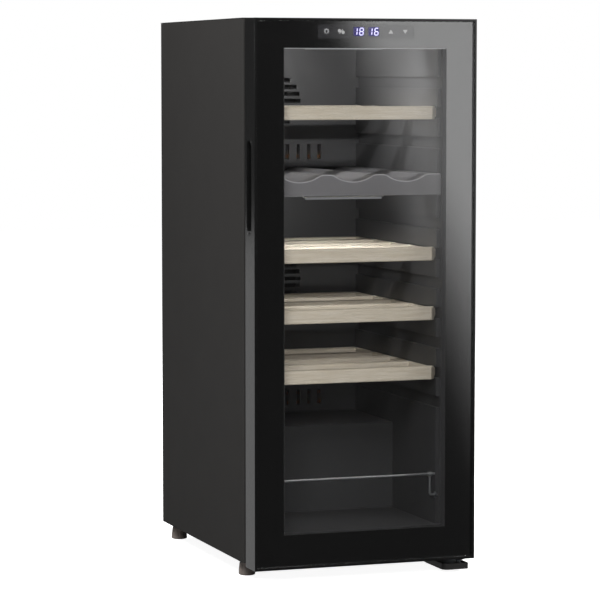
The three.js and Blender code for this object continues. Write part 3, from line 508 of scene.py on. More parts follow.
def surface(name, colour, roughness, grain=None, mottle=0, **settings):
    """A Principled material with a fine surface grain.

    grain is (size in mm, bump strength, change of roughness); mottle is how much the colour varies.
    """
    material, tree, out = new_material(name)
    inputs = {"Base Color": linear(colour), "Roughness": roughness}
    inputs.update(settings)
    place = add(tree, "ShaderNodeTexCoord").outputs["Object"]
    if grain:
        size, bump, spread = grain
        noise = add(tree, "ShaderNodeTexNoise", {
            "Vector": place, "Scale": 1 / (size * MM), "Detail": 3, "Roughness": 0.6})
        inputs["Normal"] = add(tree, "ShaderNodeBump", {
            "Height": noise.outputs["Fac"], "Strength": bump, "Distance": 0.1 * MM}).outputs[0]
        inputs["Roughness"] = add(tree, "ShaderNodeMapRange", {
            "Value": noise.outputs["Fac"], "From Min": 0.3, "From Max": 0.7,
            "To Min": roughness - spread, "To Max": roughness + spread}).outputs[0]
    if mottle:
        cloud = add(tree, "ShaderNodeTexNoise", {"Vector": place, "Scale": 22, "Detail": 4})
        inputs["Base Color"] = add(tree, "ShaderNodeMix", {
            "Factor": cloud.outputs["Fac"],
            6: tuple(c * (1 - mottle) for c in linear(colour)[:3]) + (1,),
            7: tuple(min(1, c * (1 + mottle)) for c in linear(colour)[:3]) + (1,),
        }, data_type="RGBA").outputs[2]
    shader = add(tree, "ShaderNodeBsdfPrincipled", inputs)
    tree.links.new(shader.outputs[0], out.inputs["Surface"])
    return material


# ------------------------------------------------------------ materials

# Powder-coated steel: a dull dark grey skin with a very fine orange peel.
POWDER_COAT = surface("powder_coated_steel", "333231", 0.7, grain=(0.9, 0.12, 0.05), mottle=0.06,
                      **{"Specular IOR Level": 0.05})
# Zinc-plated steel: a bluish grey metal with a soft, cloudy shine.
ZINC = surface("zinc_plated_steel", "9da0a3", 0.36, grain=(3, 0.05, 0.08), mottle=0.1, Metallic=1)
# Chrome-plated wire: bright, with a soft shine.
CHROME = surface("chrome_plated_wire", "e6e8ea", 0.38, Metallic=1)
# Thermoformed polystyrene: a dark grey sheet with a slight waviness.
LINER_SHEET = surface("thermoformed_polystyrene", "4a4a4b", 0.42, grain=(1.4, 0.1, 0.06))
# Satin ABS: the dark grey duct covers.
SATIN_ABS = surface("satin_grey_abs", "464647", 0.4, grain=(1, 0.15, 0.05))
# Gloss ABS: moulded, with a clear shine along its edges.
GLOSS_ABS = surface("gloss_black_abs", "121212", 0.2, grain=(6, 0.03, 0.03))
# Textured ABS: moulded black plastic with a spark-eroded grain.
TEXTURED_ABS = surface("textured_black_abs", "272727", 0.48, grain=(0.8, 0.22, 0.06))
# Grey moulded polystyrene: satin, a little lighter where it catches the light.
GREY_STYRENE = surface("grey_moulded_polystyrene", "7e7d7f", 0.32, grain=(1.2, 0.08, 0.05))
# The same polystyrene where the mould is polished, along a rim: glossier, and much lighter in colour,
# which is a painted highlight.
RIM_PAINTED_HIGHLIGHT = surface("rim_painted_highlight", "c4c3c5", 0.22, grain=(2, 0.04, 0.03))
# EPDM rubber: the soft dull black of a door seal.
RUBBER = surface("epdm_rubber", "161616", 0.7, grain=(0.7, 0.15, 0.05))
# Nylon: the brownish grey of the feet.
NYLON = surface("moulded_nylon", "8a807a", 0.5, grain=(0.8, 0.15, 0.06))
# Rigid polyurethane foam: pale yellow, with small cells.
FOAM = surface("polyurethane_foam", "d5c48c", 0.9, grain=(1.5, 0.6, 0.03), mottle=0.08)
# Rolled aluminium fin stock: pale, with a soft shine.
FIN_ALUMINIUM = surface("aluminium_fin_stock", "b4b6b8", 0.34, grain=(2, 0.05, 0.08), Metallic=1)
# Black stoving enamel on the compressor: smooth and half glossy.
STOVED_ENAMEL = surface("black_stoving_enamel", "0e0e0e", 0.33, grain=(2.5, 0.1, 0.06))
# Drawn copper: warm, slightly tarnished.
COPPER = surface("drawn_copper", "b06f42", 0.3, grain=(2, 0.05, 0.1), mottle=0.18, Metallic=1)
# White ABS: satin.
WHITE_ABS = surface("white_abs", "dedcd6", 0.4, grain=(1, 0.08, 0.04))
# Screen-printed ceramic enamel, fired on the glass: an even glossy black.
ENAMEL = surface("ceramic_enamel_print", "060606", 0.1, IOR=2.6)
# Smoked acrylic in front of the display.
SMOKED_ACRYLIC = surface("smoked_acrylic", "222225", 0.14, IOR=2.35)


def window_glass(name, tint, mirror):
    """Coated float glass: what is behind shows through a tint, with a weak mirror on top."""
    material, tree, out = new_material(name)
    clear = add(tree, "ShaderNodeBsdfTransparent", {"Color": linear(tint)})
    gloss = add(tree, "ShaderNodeBsdfAnisotropic", {"Color": (1, 1, 1, 1), "Roughness": 0.02})
    facing = add(tree, "ShaderNodeLayerWeight", {"Blend": 0.25})
    share = add(tree, "ShaderNodeMapRange", {
        "Value": facing.outputs["Facing"], "From Min": 0, "From Max": 1,
        "To Min": mirror, "To Max": 0.5})
    mix = add(tree, "ShaderNodeMixShader", {
        "Fac": share.outputs[0], 1: clear.outputs[0], 2: gloss.outputs[0]})
    tree.links.new(mix.outputs[0], out.inputs["Surface"])
    return material


FRONT_GLASS = window_glass("tinted_front_glass", "fafafa", 0.016)
INNER_GLASS = window_glass("clear_inner_glass", "fcfcfc", 0.003)


def beech(name, along):
    """Steamed beech, planed and lacquered: pale, fine straight grain with short dark flecks."""
    material, tree, out = new_material(name)
    place = add(tree, "ShaderNodeTexCoord").outputs["Object"]
    stretch = [60, 60, 60]
    stretch["xyz".index(along)] = 3
    fibres = add(tree, "ShaderNodeMapping", {"Vector": place, "Scale": tuple(stretch)})
    grain = add(tree, "ShaderNodeTexNoise", {
        "Vector": fibres.outputs[0], "Scale": 9, "Detail": 5, "Roughness": 0.65, "Distortion": 0.4})
    tone = add(tree, "ShaderNodeValToRGB", {"Fac": grain.outputs["Fac"]})
    tone.color_ramp.elements[0].position = 0.32
    tone.color_ramp.elements[0].color = linear("dacdb6")
    tone.color_ramp.elements[1].position = 0.68
    tone.color_ramp.elements[1].color = linear("f0e7d7")
    stretch = [900, 900, 900]
    stretch["xyz".index(along)] = 160
    spots = add(tree, "ShaderNodeMapping", {"Vector": place, "Scale": tuple(stretch)})
    fleck = add(tree, "ShaderNodeTexVoronoi", {"Vector": spots.outputs[0], "Scale": 1})
    dark = add(tree, "ShaderNodeMapRange", {
        "Value": fleck.outputs["Distance"], "From Min": 0.12, "From Max": 0.3,
        "To Min": 0.72, "To Max": 1})
    colour = add(tree, "ShaderNodeMix", {
        "Factor": 1.0, 6: tone.outputs["Color"], 7: dark.outputs[0]},
        data_type="RGBA", blend_type="MULTIPLY")
    bump = add(tree, "ShaderNodeBump", {
        "Height": grain.outputs["Fac"], "Strength": 0.15, "Distance": 0.2 * MM})
    shader = add(tree, "ShaderNodeBsdfPrincipled", {
        "Base Color": colour.outputs[2], "Roughness": 0.45, "Normal": bump.outputs[0]})
    tree.links.new(shader.outputs[0], out.inputs["Surface"])
    return material


BEECH_ACROSS = beech("lacquered_beech_across", "x")
BEECH_ALONG = beech("lacquered_beech_along", "y")


def glowing(name, colour, strength):
    """A lit surface, such as the segments of a display."""
    material, tree, out = new_material(name)
    light = add(tree, "ShaderNodeEmission", {"Color": linear(colour), "Strength": strength})
    tree.links.new(light.outputs[0], out.inputs["Surface"])
    return material


# Opal polycarbonate over the light-emitting diodes: an even cool white. It is dim, and small
# lamps below it give its light.
OPAL_LIT = glowing("lit_opal_polycarbonate", "eef0f4", 0.22)
# The display's segments: white in the middle, violet round them.
DIGIT_CORE = glowing("white_led_segment", "ffffff", 1.35)
DIGIT_GLOW = glowing("violet_led_glow", "6a55f0", 1.1)
DIGIT_HALO = glowing("violet_led_haze", "2c2470", 0.8)
# The segments that are switched off: a pale violet ghost, given a painted glow though they give no
# light.
UNLIT_SEGMENT_PAINTED_GLOW = glowing("unlit_segment_painted_glow", "8c86b4", 0.6)
# Back-lit grey print of the touch symbols.
SYMBOL_PRINT = glowing("backlit_grey_symbols", "b8b8b8", 1.0)
# Dark grey enamel hairline, and a lighter strip along the window's top that is a painted highlight of
# light falling on that edge.
KEYLINE = surface("grey_enamel_hairline", "343434", 0.35)
TOP_LINE_PAINTED_HIGHLIGHT = surface("top_hairline_painted_highlight", "a8a8a8", 0.35)

# ------------------------------------------------------------ cabinet


def side_panel(node, side):
    """A sheet with its edges folded in, on real bending radii."""
    flange, rear = 22.5 * MM, 17.5 * MM
    x = side * SIDE
    path = fillet([
        (x - side * flange, FRONT), (x, FRONT), (x, BACK), (x - side * rear, BACK)
    ], 2.2 * MM, closed=False)
    sheet = prism(strip(path, side * STEEL), "z", low(node).z, high(node).z)
    return stand_in(made_of(node + "_finish", (sheet, POWDER_COAT)), node)


def top_sheet():
    """The top, folded down at the front between the side flanges."""
    node = "top_panel"
    fold_half, fold_low, fold_high = 149.7 * MM, low(node).z, TOP - 0.2 * MM
    sheet = prism(fillet([
        (FRONT, TOP), (BACK, TOP), (BACK, TOP - STEEL), (FRONT, TOP - STEEL)
    ], 0.45 * MM, 3), "x", -SIDE, SIDE)
    fold = prism(fillet([
        (FRONT, fold_low), (FRONT, fold_high), (FRONT + STEEL, fold_high), (FRONT + STEEL, fold_low)
    ], 0.3 * MM, 2), "x", -fold_half, fold_half)
    return stand_in(made_of(node + "_finish", (sheet, POWDER_COAT), (fold, POWDER_COAT)), node)


def beaded_sheet():
    """The back panel: thin sheet with two pressed frames that keep it stiff."""
    node = "back_panel"
    half, bottom, top = high(node).x, low(node).z, high(node).z
    back, bead, bead_reach, corner = high(node).y, 1.4 * MM, 6 * MM, 30 * MM
    insets = ((22, 34), (48, 60))  # of the two frames, from the sides and from the ends, mm
    columns, rows = 70, 150

    def away(x, z, w, h):
        """Distance from a rounded rectangle's line."""
        dx = abs(x) - (w - corner)
        dz = abs(z) - (h - corner)
        outside = math.hypot(max(dx, 0), max(dz, 0)) + min(max(dx, dz), 0)
        return abs(outside - corner)

    bm = bmesh.new()
    grid = []
    middle, reach = (bottom + top) / 2, (top - bottom) / 2
    for j in range(rows + 1):
        z = bottom + (top - bottom) * j / rows
        line = []
        for i in range(columns + 1):
            x = -half + 2 * half * i / columns
            near = min(away(x, z - middle, half - u * MM, reach - v * MM) for u, v in insets)
            rise = bead * max(0, math.cos(math.pi / 2 * min(1, near / bead_reach))) ** 1.5
            line.append(bm.verts.new((x, back + rise, z)))
        grid.append(line)
    for a, b in zip(grid, grid[1:]):
        for n in range(columns):
            bm.faces.new((a[n + 1], a[n], b[n], b[n + 1]))
    bmesh.ops.solidify(bm, geom=bm.faces[:], thickness=0.8 * MM)
    piece = made_of("back_panel_finish", (as_mesh(bm), POWDER_COAT))
    return stand_in(piece, node)


def divider():
    """The moulded floor between the zones: a hollow for each bottle, and a polished front rim whose
    lighter colour is a painted highlight.
    """
    node = "zone_divider"
    front = low(node).y
    half, top, bottom = high(node).x, high(node).z, low(node).z
    pitch, depth, width, soft = 83 * MM, 10.5 * MM, 65 * MM, 1.6 * MM
    radius = (width**2 / 4 + depth**2) / (2 * depth)
    outline = []
    steps = 200
    for k in range(steps + 1):
        x = -half + 2 * half * k / steps
        dip = 0
        for centre in (-pitch, 0, pitch):
            dx = x - centre
            if abs(dx) < pitch / 2:
                chord = math.sqrt(radius**2 - dx**2) - (radius - depth)
                dip = (chord + math.sqrt(chord**2 + soft**2)) / 2
        outline.append((x, top - dip))
    rim_y, rim = front + 0.8 * MM, 0.9 * MM
    crest = [(x, rim_y, z - 0.5 * MM) for x, z in outline if abs(x) < half - 1.5 * MM]
    outline += [(half, bottom), (-half, bottom)]
    body = made_of("divider_body", (prism(outline, "y", front, high(node).y), GREY_STYRENE))
    rounded_edges(body, 2.0, 3, 50)
    lip = box((-half + MM, front - 0.6 * MM, bottom),
              (half - MM, front + 2 * MM, bottom + 2.2 * MM))
    lip = made_of("divider_lip", (lip, GREY_STYRENE))
    rounded_edges(lip, 0.6, 2)
    # the rim tube's light colour is a painted highlight along the front edge
    piece = made_of("zone_divider_finish", (taken(body), GREY_STYRENE), (taken(lip), GREY_STYRENE),
                    (tube(crest, rim), RIM_PAINTED_HIGHLIGHT))
    return stand_in(piece, node)


def guard_rail():
    """Chrome wire: a bar, a drop at each end with collars on the bar, and pegs in grommets."""
    node = "guard_rail"
    wall, wire, drop_wire = 134 * MM, 2 * MM, 1.8 * MM
    collar = ((2, -1.5), (3.3, -1.3), (3.6, 0), (3.3, 1.3), (2, 1.5))
    y = (low(node).y + high(node).y) / 2
    bar_z = high(node).z - wire
    peg_z = bar_z - 32 * MM
    end = wall - 1.2 * MM
    parts = [(tube([(-end, y, bar_z), (end, y, bar_z)], wire, 6), CHROME)]
    for side in (-1, 1):
        x = side * (wall - 9 * MM)
        drop = bent([(x, y, bar_z + 1.5 * MM), (x, y, peg_z),
                     (side * (wall + 3 * MM), y, peg_z)], 5 * MM)
        parts.append((tube(drop, drop_wire, 6), CHROME))
        for turn in (-1, 1):
            parts.append((turned(collar, x + turn * 1.9 * MM, (y, bar_z), "x", 24), CHROME))
        back = -side  # the grommet lies on the wall's inner face
        grommet = ((1.8, back * 1.6), (4.4, back * 1.6), (5.2, back * 0.8), (5.2, 0), (1.8, 0))
        parts.append((turned(grommet, side * (wall - 0.1 * MM), (y, peg_z), "x", 32), ZINC))
    return stand_in(made_of(node + "_finish", *parts), node)


def screw_head(radius):
    """A pan head with a cross recess, its axis along Z."""
    height = radius * 0.55
    profile = [(0, 0), (radius, 0), (radius, height * 0.35), (radius * 0.86, height * 0.78),
               (radius * 0.5, height), (0, height)]
    head = link("screw_head", lathe(profile, (0, 0), "z", 20))
    arm, wide = radius * 0.62, radius * 0.16
    for w, h in ((arm, wide), (wide, arm)):
        tool = link("slot", box((-w, -h, height * 0.45), (w, h, height * 2)))
        cut = head.modifiers.new("cross", "BOOLEAN")
        cut.operation = "DIFFERENCE"
        cut.object = tool
        settled(head)
        bpy.data.objects.remove(tool)
    return head


def screws(name, places, body, towards, radius, seed=4):
    """Pan-head screws whose heads point along an axis; the radius is in mm."""
    head = screw_head(radius * MM)
    turn = {"y": (-math.pi / 2, 0, 0), "z": (0, 0, 0), "-z": (math.pi, 0, 0)}[towards]
    piece = generated(name, SCREWS, places, Head=head, Turn=turn, Seed=seed, Material=ZINC)
    bpy.data.objects.remove(head)
    return extra(piece, body)


def cabinet_screws():
    """Rows of screws up the back panel and the cover below it, and six in the base."""
    head = 3.4
    back = BACK + 0.1 * MM
    x = high("back_panel").x - 7 * MM
    places = []
    for heights in ((0.2, 0.36, 0.52, 0.68, 0.805), (0.04, 0.155)):
        places += [(side * x, back, z) for side in (-1, 1) for z in heights]
    places += [(0, back, 0.812), (0, back, 0.04)]
    screws("back_screws", places, "cabinet", "y", head)
    below = BASE - 0.05 * MM
    places = [(side * 0.05, -0.06 + 0.12 * k, below) for side in (-1, 1) for k in range(3)]
    screws("base_screws", places, "cabinet", "-z", head)


# ------------------------------------------------------------ shelves


def shelf(number):
    """A beech board in front of a rack of slats on two rails."""
    front, rack = f"shelf_{number}_front", f"shelf_{number}_rack"
    a, b = low(front), high(front)
    end = 6.5 * MM
    outline = fillet([(a.x, a.y + end), (a.x + end, a.y), (b.x - end, a.y), (b.x, a.y + end),
                      (b.x, b.y), (a.x, b.y)], 1.6 * MM, 4)
    board = made_of(front + "_finish", (prism(outline, "z", a.z, b.z), BEECH_ACROSS))
    rounded_edges(board, 1.6, 3, 50)
    stand_in(board, front)

    a, b = low(rack), high(rack)
    rail_width, rail_top = 14 * MM, b.z - 1 * MM
    rails = []
    for side in (-1, 1):
        x0, x1 = sorted((side * b.x, side * (b.x - rail_width)))
        rail = made_of("rail", (box((x0, a.y, a.z), (x1, b.y, rail_top)), BEECH_ALONG))
        rounded_edges(rail, 2.4, 4)
        rails.append((taken(rail), BEECH_ALONG))
    count, width, thick = 5, 22 * MM, 8 * MM
    pitch = (b.y - a.y - width) / (count - 1)
    slats = generated(
        "slats", ROW_OF_BARS, Start=(0, a.y + width / 2, b.z - thick / 2), Step=(0, pitch, 0),
        Count=count, Size=(2 * (b.x - 4 * MM), width, thick), Material=BEECH_ACROSS)
    rounded_edges(slats, 1.6, 3)
    stand_in(made_of(rack + "_finish", *rails, (taken(slats), BEECH_ACROSS)), rack)
    places = [(side * (b.x - 9 * MM), a.y + width / 2 + k * pitch, b.z - 0.3 * MM)
              for side in (-1, 1) for k in range(count)]
    screws(f"shelf_{number}_screws", places, body_of(rack), "z", 2.4, number)


# ------------------------------------------------------------ door


def gasket():
    """A magnetic bellows seal: a foot in the frame's groove, two folds and the magnet's pocket."""
    node = "door_gasket"
    y0, y1 = low(node).y, high(node).y
    deep, wide = y1 - y0, 13 * MM
    inner = high(node).x - wide
    shape = [
        (0.0, 0.62), (0.0, 0.93), (0.03, 1.0), (0.62, 1.0), (0.68, 0.92), (0.68, 0.66), (0.60, 0.58),
        (0.84, 0.50), (0.97, 0.36), (1.0, 0.16), (0.96, 0.04), (0.88, 0.0), (0.32, 0.0), (0.26, 0.06),
        (0.27, 0.17), (0.12, 0.30), (0.10, 0.38), (0.22, 0.46), (0.24, 0.52), (0.06, 0.56)
    ]
    profile = [(u * wide, y0 + v * deep) for u, v in shape]
    ring = mitred_ring(profile, inner, low(node).z + wide, high(node).z - wide)
    return stand_in(made_of("door_gasket_finish", (ring, RUBBER)), node)


SEGMENTS = {"1": "bc", "6": "afedcg", "8": "abcdefg", "unlit 1": "afedg"}


def seven_segments(digit, x, z, grow=0.0):
    """A digit's segments as flat six-sided bars, each a list of (x, z) points."""
    h, w, t = 4.9 * MM, 2.6 * MM, 0.62 * MM + grow
    gap, slant = 0.25 * MM - grow, 0.09
    ends = {
        "a": ((-w, h), (w, h)), "b": ((w, h), (w, 0)), "c": ((w, 0), (w, -h)),
        "d": ((-w, -h), (w, -h)), "e": ((-w, -h), (-w, 0)), "f": ((-w, 0), (-w, h)),
        "g": ((-w, 0), (w, 0))
    }
    bars = []
    for name in SEGMENTS[digit]:
        p, q = (Vector(v) for v in ends[name])
        along = (q - p).normalized()
        across = Vector((-along.y, along.x))
        p, q = p + along * gap, q - along * gap
        bar = [p, p + (along + across) * t, q + (across - along) * t, q,
               q - (along + across) * t, p + (along - across) * t]
        bars.append([(x + v.x + v.y * slant, z + v.y) for v in bar])
    return bars


def plates(outlines, material, y, front, back):
    """Flat plates from upright outlines; front and back are counted from y, in mm."""
    return [(prism(line, "y", y + front * MM, y + back * MM), material) for line in outlines]


def bar_plate(x, z, along, start, end, half):
    """A straight bar from start to end along a direction; the lengths are in mm."""
    over = Vector((-along.y, along.x)) * half * MM
    a, b = along * start * MM, along * end * MM
    return [(x + v.x, z + v.y) for v in (a - over, b - over, b + over, a + over)]


def arc_plate(x, z, radius, width, first, last):
    """A band along an arc, between two angles in degrees."""
    steps = 14
    out = []
    for r, turn in ((radius + width / 2, 1), (radius - width / 2, -1)):
        for k in range(steps + 1)[::turn]:
            angle = math.radians(first + (last - first) * k / steps)
            out.append((x + r * math.cos(angle), z + r * math.sin(angle)))
    return out


def display_digits(z, y):
    """Two temperatures in lit segments over a violet glow, with the unlit segments beside them in a
    painted glow.
    """
    core, halo, unlit, haze = [], [], [], []
    for text, x in (("1", -16.5), ("8", -7.0), ("1", 6.6), ("6", 16.2)):
        core += seven_segments(text, x * MM, z)
        halo += seven_segments(text, x * MM, z, 0.55 * MM)
        if text == "1":
            unlit += seven_segments("unlit 1", x * MM, z, -0.25 * MM)
    below, above = z - 6.6 * MM, z + 6.6 * MM
    for x0, x1 in ((-19.5 * MM, -2.6 * MM), (3.6 * MM, 20.6 * MM)):
        haze.append(fillet([(x0, below), (x1, below), (x1, above), (x0, above)], 2.4 * MM))
    # the unlit segments are emissive: a painted glow, since they give no light
    lit = plates(core, DIGIT_CORE, y, -0.12, -0.04) + plates(unlit, UNLIT_SEGMENT_PAINTED_GLOW, y, -0.12, -0.04)
    lit += plates(halo, DIGIT_GLOW, y, 0.04, 0.1) + plates(haze, DIGIT_HALO, y, 0.16, 0.2)
    extra(made_of("display_digits", *lit), "door")


def display_symbols(z, y):
    """Two arrows, a lamp and a two-zone sign."""
    marks = []
    for side, x in ((1, 38.5), (-1, 61)):
        tip, foot = z + side * 2.9 * MM, z - side * 2.7 * MM
        marks.append([((x - 3.8) * MM, foot), (x * MM, tip), ((x + 3.8) * MM, foot)])
    bulb, bulb_z, zone = -61 * MM, z + 0.3 * MM, -38.5 * MM
    marks.append(arc_plate(bulb, bulb_z, 2.5 * MM, 1.1 * MM, -60, 240))
    for k in range(8):
        angle = math.radians(45 * k)
        ray = Vector((math.cos(angle), math.sin(angle)))
        marks.append(bar_plate(bulb, bulb_z, ray, 3.0, 4.1, 0.5))
    marks.append(arc_plate(zone - 2.6 * MM, z + 1.0 * MM, 2.0 * MM, 1.0 * MM, 0, 360))
    marks.append(arc_plate(zone + 3.0 * MM, z - 1.2 * MM, 2.0 * MM, 1.0 * MM, 0, 360))
    marks.append(bar_plate(zone, z, Vector((0.62, 0.78)), -4.2, 4.2, 0.45))
    symbols = plates(marks, SYMBOL_PRINT, y, -0.1, -0.02)
    extra(made_of("display_symbols", *symbols), "door")


def display():
    """Lit digits and touch symbols between the glass and the display's smoked face."""
    node = "display_board"
    refined(node, SMOKED_ACRYLIC, 0.3)
    z = (low(node).z + high(node).z) / 2
    y = (high("front_glass").y + low(node).y) / 2
    display_digits(z, y)
    display_symbols(z, y)


def keyline():
    """A hairline of grey enamel round the clear window, with a lighter strip along its top that is a
    painted highlight.
    """
    half, bottom, top = 125.5 * MM, DOOR_LOW + 51 * MM, DOOR_HIGH - 44 * MM
    y = low("printed_border").y
    ring = mitred_ring([(0, y - 0.16 * MM), (0.9 * MM, y - 0.16 * MM), (0.9 * MM, y - 0.06 * MM),
                        (0, y - 0.06 * MM)], half, bottom, top)
    # the top strip: a painted highlight, lighter than the rest of the hairline
    bar = box((-half, y - 0.2 * MM, top), (half, y - 0.17 * MM, top + 0.9 * MM))
    return extra(made_of("window_keyline", (ring, KEYLINE), (bar, TOP_LINE_PAINTED_HIGHLIGHT)), "door")


# ------------------------------------------------------------ feet, fans and machine pieces


def levelling_foot(node):
    """A pad under a zinc lock nut on a threaded stud; the pad stands on the floor."""
    middle = (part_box(node)[0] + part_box(node)[1]) / 2
    x, y = middle.x, middle.y
    top, end = 25 * MM, high(node).z
    pad = turned(((0, 0), (10.9, 0), (12.1, 0.6), (12.5, 2.2), (12.3, 5), (11, 17.8), (10.4, 18.8),
                  (0, 18.8)), 0, (x, y), "z", 56)
    sides = []
    for k in range(6):
        angle = math.radians(60 * k + 12)
        sides.append((x + 9.4 * MM * math.cos(angle), y + 9.4 * MM * math.sin(angle)))
    nut = made_of("nut", (prism(sides, "z", top - 6.1 * MM, top - 1.9 * MM), ZINC))
    rounded_edges(nut, 0.5, 2)
    washer = turned(((4, -1.8), (9, -1.8), (9, -0.7), (4, -0.7), (4, -1.8)), top, (x, y), "z", 40)
    z, root, crest, pitch = top - 6.5 * MM, 3.3 * MM, 3.9 * MM, 1.1 * MM
    thread = [(0, z)]
    while z < end - 1.3 * MM:
        thread += [(root, z), (crest, z + pitch / 2), (root, z + pitch)]
        z += pitch
    thread += [(2.8 * MM, end), (0, end)]
    stud = lathe(thread, (x, y), "z", 24)
    piece = made_of(node + "_finish", (pad, NYLON), (taken(nut), ZINC), (washer, ZINC), (stud, ZINC))
    return stand_in(piece, node)


def fan(node, axis, radius, hub):
    """A moulded axial fan: a domed hub and swept, twisted blades."""
    lowest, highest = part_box(node)
    middle = (lowest + highest) / 2
    blades, half, root = 7, 6 * MM, hub * 0.92
    bm = bmesh.new()
    rows, columns = 7, 9
    grid = []
    for j in range(rows + 1):
        share = j / rows
        r = root + (radius - root) * share
        chord = math.radians(46 + 8 * share)
        twist = math.radians(38 - 16 * share)
        line = []
        for i in range(columns + 1):
            along = i / columns - 0.5
            angle = along * chord + 0.35 * share**2
            rise = along * r * chord * math.tan(twist) * 0.72 + 0.8 * MM * math.cos(math.pi * along)
            line.append(bm.verts.new((r * math.cos(angle), r * math.sin(angle), rise)))
        grid.append(line)
    for a, b in zip(grid, grid[1:]):
        for n in range(columns):
            bm.faces.new((a[n], b[n], b[n + 1], a[n + 1]))
    bmesh.ops.recalc_face_normals(bm, faces=bm.faces)
    bmesh.ops.solidify(bm, geom=bm.faces[:], thickness=1.1 * MM)
    blade = link("blade", as_mesh(bm), TEXTURED_ABS)
    ring = generated("fan_blades", RING_OF_COPIES, Copy=blade, Count=blades,
                     Material=TEXTURED_ABS)
    bpy.data.objects.remove(blade)
    cap = [(0, -half), (hub * 0.9, -half), (hub, -half + 1 * MM), (hub, half - 3 * MM),
           (hub * 0.93, half - 1.2 * MM), (hub * 0.7, half - 0.3 * MM), (0, half)]
    wheel = made_of(node + "_finish", (lathe(cap, (0, 0), "z", 48), TEXTURED_ABS),
                    (taken(ring), TEXTURED_ABS))
    turn = Matrix.Rotation(math.pi / 2, 4, {"x": "Y", "y": "X"}[axis])
    wheel.data.transform(Matrix.Translation(middle) @ turn)
    return stand_in(wheel, node)


def fin_block(node, along, pitch):
    """A heat exchanger: thin fins in a row between two end plates."""
    a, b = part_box(node)
    thickness, header = 0.35 * MM, 1.5 * MM
    size = b - a
    axis = "xyz".index(along)
    step = [0, 0, 0]
    step[axis] = pitch
    start = (a + b) / 2
    count = int((size[axis] - 2 * header) / pitch)
    start[axis] = (a[axis] + b[axis]) / 2 - pitch * (count - 1) / 2
    fin = list(size)
    fin[axis] = thickness
    row = generated(node + "_fins", ROW_OF_BARS, Start=start, Step=tuple(step), Count=count,
                    Size=tuple(fin), Material=FIN_ALUMINIUM)
    parts = [(taken(row), FIN_ALUMINIUM)]
    for side in (a[axis], b[axis] - header):
        lowest, highest = list(a), list(b)
        lowest[axis], highest[axis] = side, side + header
        parts.append((box(lowest, highest), ZINC))
    return parts


def serpentine(ends, lowest, highest, rows, radius):
    """A copper pipe to and fro between two (x, y) ends, in rows from the bottom up."""
    route = []
    for k in range(rows):
        z = lowest + (highest - lowest) * (k + 0.5) / rows
        run = [(*end, z) for end in ends]
        route += run if k % 2 == 0 else run[::-1]
    return tube(bent(route, 5 * MM), radius, 4), COPPER


def evaporator(node):
    """Fins threaded on a copper serpentine."""
    a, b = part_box(node)
    y = (a.y + b.y) / 2
    rows = max(2, int((b.z - a.z) / (16 * MM)))
    ends = ((a.x - 4 * MM, y), (b.x + 4 * MM, y))
    parts = fin_block(node, "x", 3.2 * MM)
    parts.append(serpentine(ends, a.z, b.z, rows, 3.5 * MM))
    return stand_in(made_of(node + "_finish", *parts), node)


def condenser():
    """Fins on two copper serpentines."""
    node = "condenser"
    a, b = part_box(node)
    parts = fin_block(node, "y", 2.8 * MM)
    for x in (a.x + 10 * MM, b.x - 10 * MM):
        ends = ((x, a.y - 4 * MM), (x, b.y + 4 * MM))
        parts.append(serpentine(ends, a.z, b.z, 5, 3.2 * MM))
    return stand_in(made_of(node + "_finish", *parts), node)


def compressor():
    """Two deep-drawn steel cups welded at a belt, on a foot plate with rubber grommets."""
    node = "compressor"
    a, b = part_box(node)
    x, y, z = (a.x + b.x) / 2, (a.y + b.y) / 2, a.z
    r, h, thick = 56, (b.z - z) / MM, 2.5
    profile = (
        (0, 0), (0.6, 0), (0.8, 4), (0.9, 11), (0.95, 22), (0.96, 46), (0.985, 46.6), (1, 48),
        (1, 52), (0.985, 53.4), (0.96, 54), (0.955, 80), (0.93, h - 22), (0.86, h - 13),
        (0.72, h - 5.5), (0.5, h - 1.5), (0.25, h - 0.2), (0, h))  # share of the radius, height
    shell = turned([(share * r, height) for share, height in profile], z, (x, y), "z", 72)
    plate = made_of("foot_plate", (prism(fillet([
        (a.x, a.y), (b.x, a.y), (b.x, b.y), (a.x, b.y)
    ], 9 * MM), "z", z, z + thick * MM), STOVED_ENAMEL))
    rounded_edges(plate, 0.5, 2)
    parts = [(shell, STOVED_ENAMEL), (taken(plate), STOVED_ENAMEL)]
    grommet = ((3, thick), (8, thick), (8, 6), (6.5, 8), (3, 8), (3, thick))
    bolt = ((0, 7.5), (5, 7.5), (5, 9.8), (0, 10.4))
    for i in (-1, 1):
        for j in (-1, 1):
            hole = (x + i * 52 * MM, y + j * 42 * MM)
            parts.append((turned(grommet, z, hole, "z", 28), RUBBER))
            parts.append((turned(bolt, z, hole, "z", 6), ZINC))
    return stand_in(made_of(node + "_finish", *parts), node)


def discharge_pipe():
    """Copper tube from the compressor up and over to the condenser."""
    node = "discharge_pipe"
    a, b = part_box(node)
    r, y = 3 * MM, (a.y + b.y) / 2
    outlet, outlet_z, bend_at = low("compressor").x + 118.3 * MM, 104.3 * MM, 26 * MM
    riser, end, top = outlet + bend_at, b.x - r, b.z - r
    foot = a.z if a.z > 0.13 else high("condenser").z + 0.3 * MM
    route = bent([(outlet, y, outlet_z), (riser, y, outlet_z), (riser, y, top), (end, y, top),
                  (end, y, foot)], 9 * MM)
    return stand_in(made_of(node + "_finish", (tube(route, r * 0.98, 6), COPPER)), node)


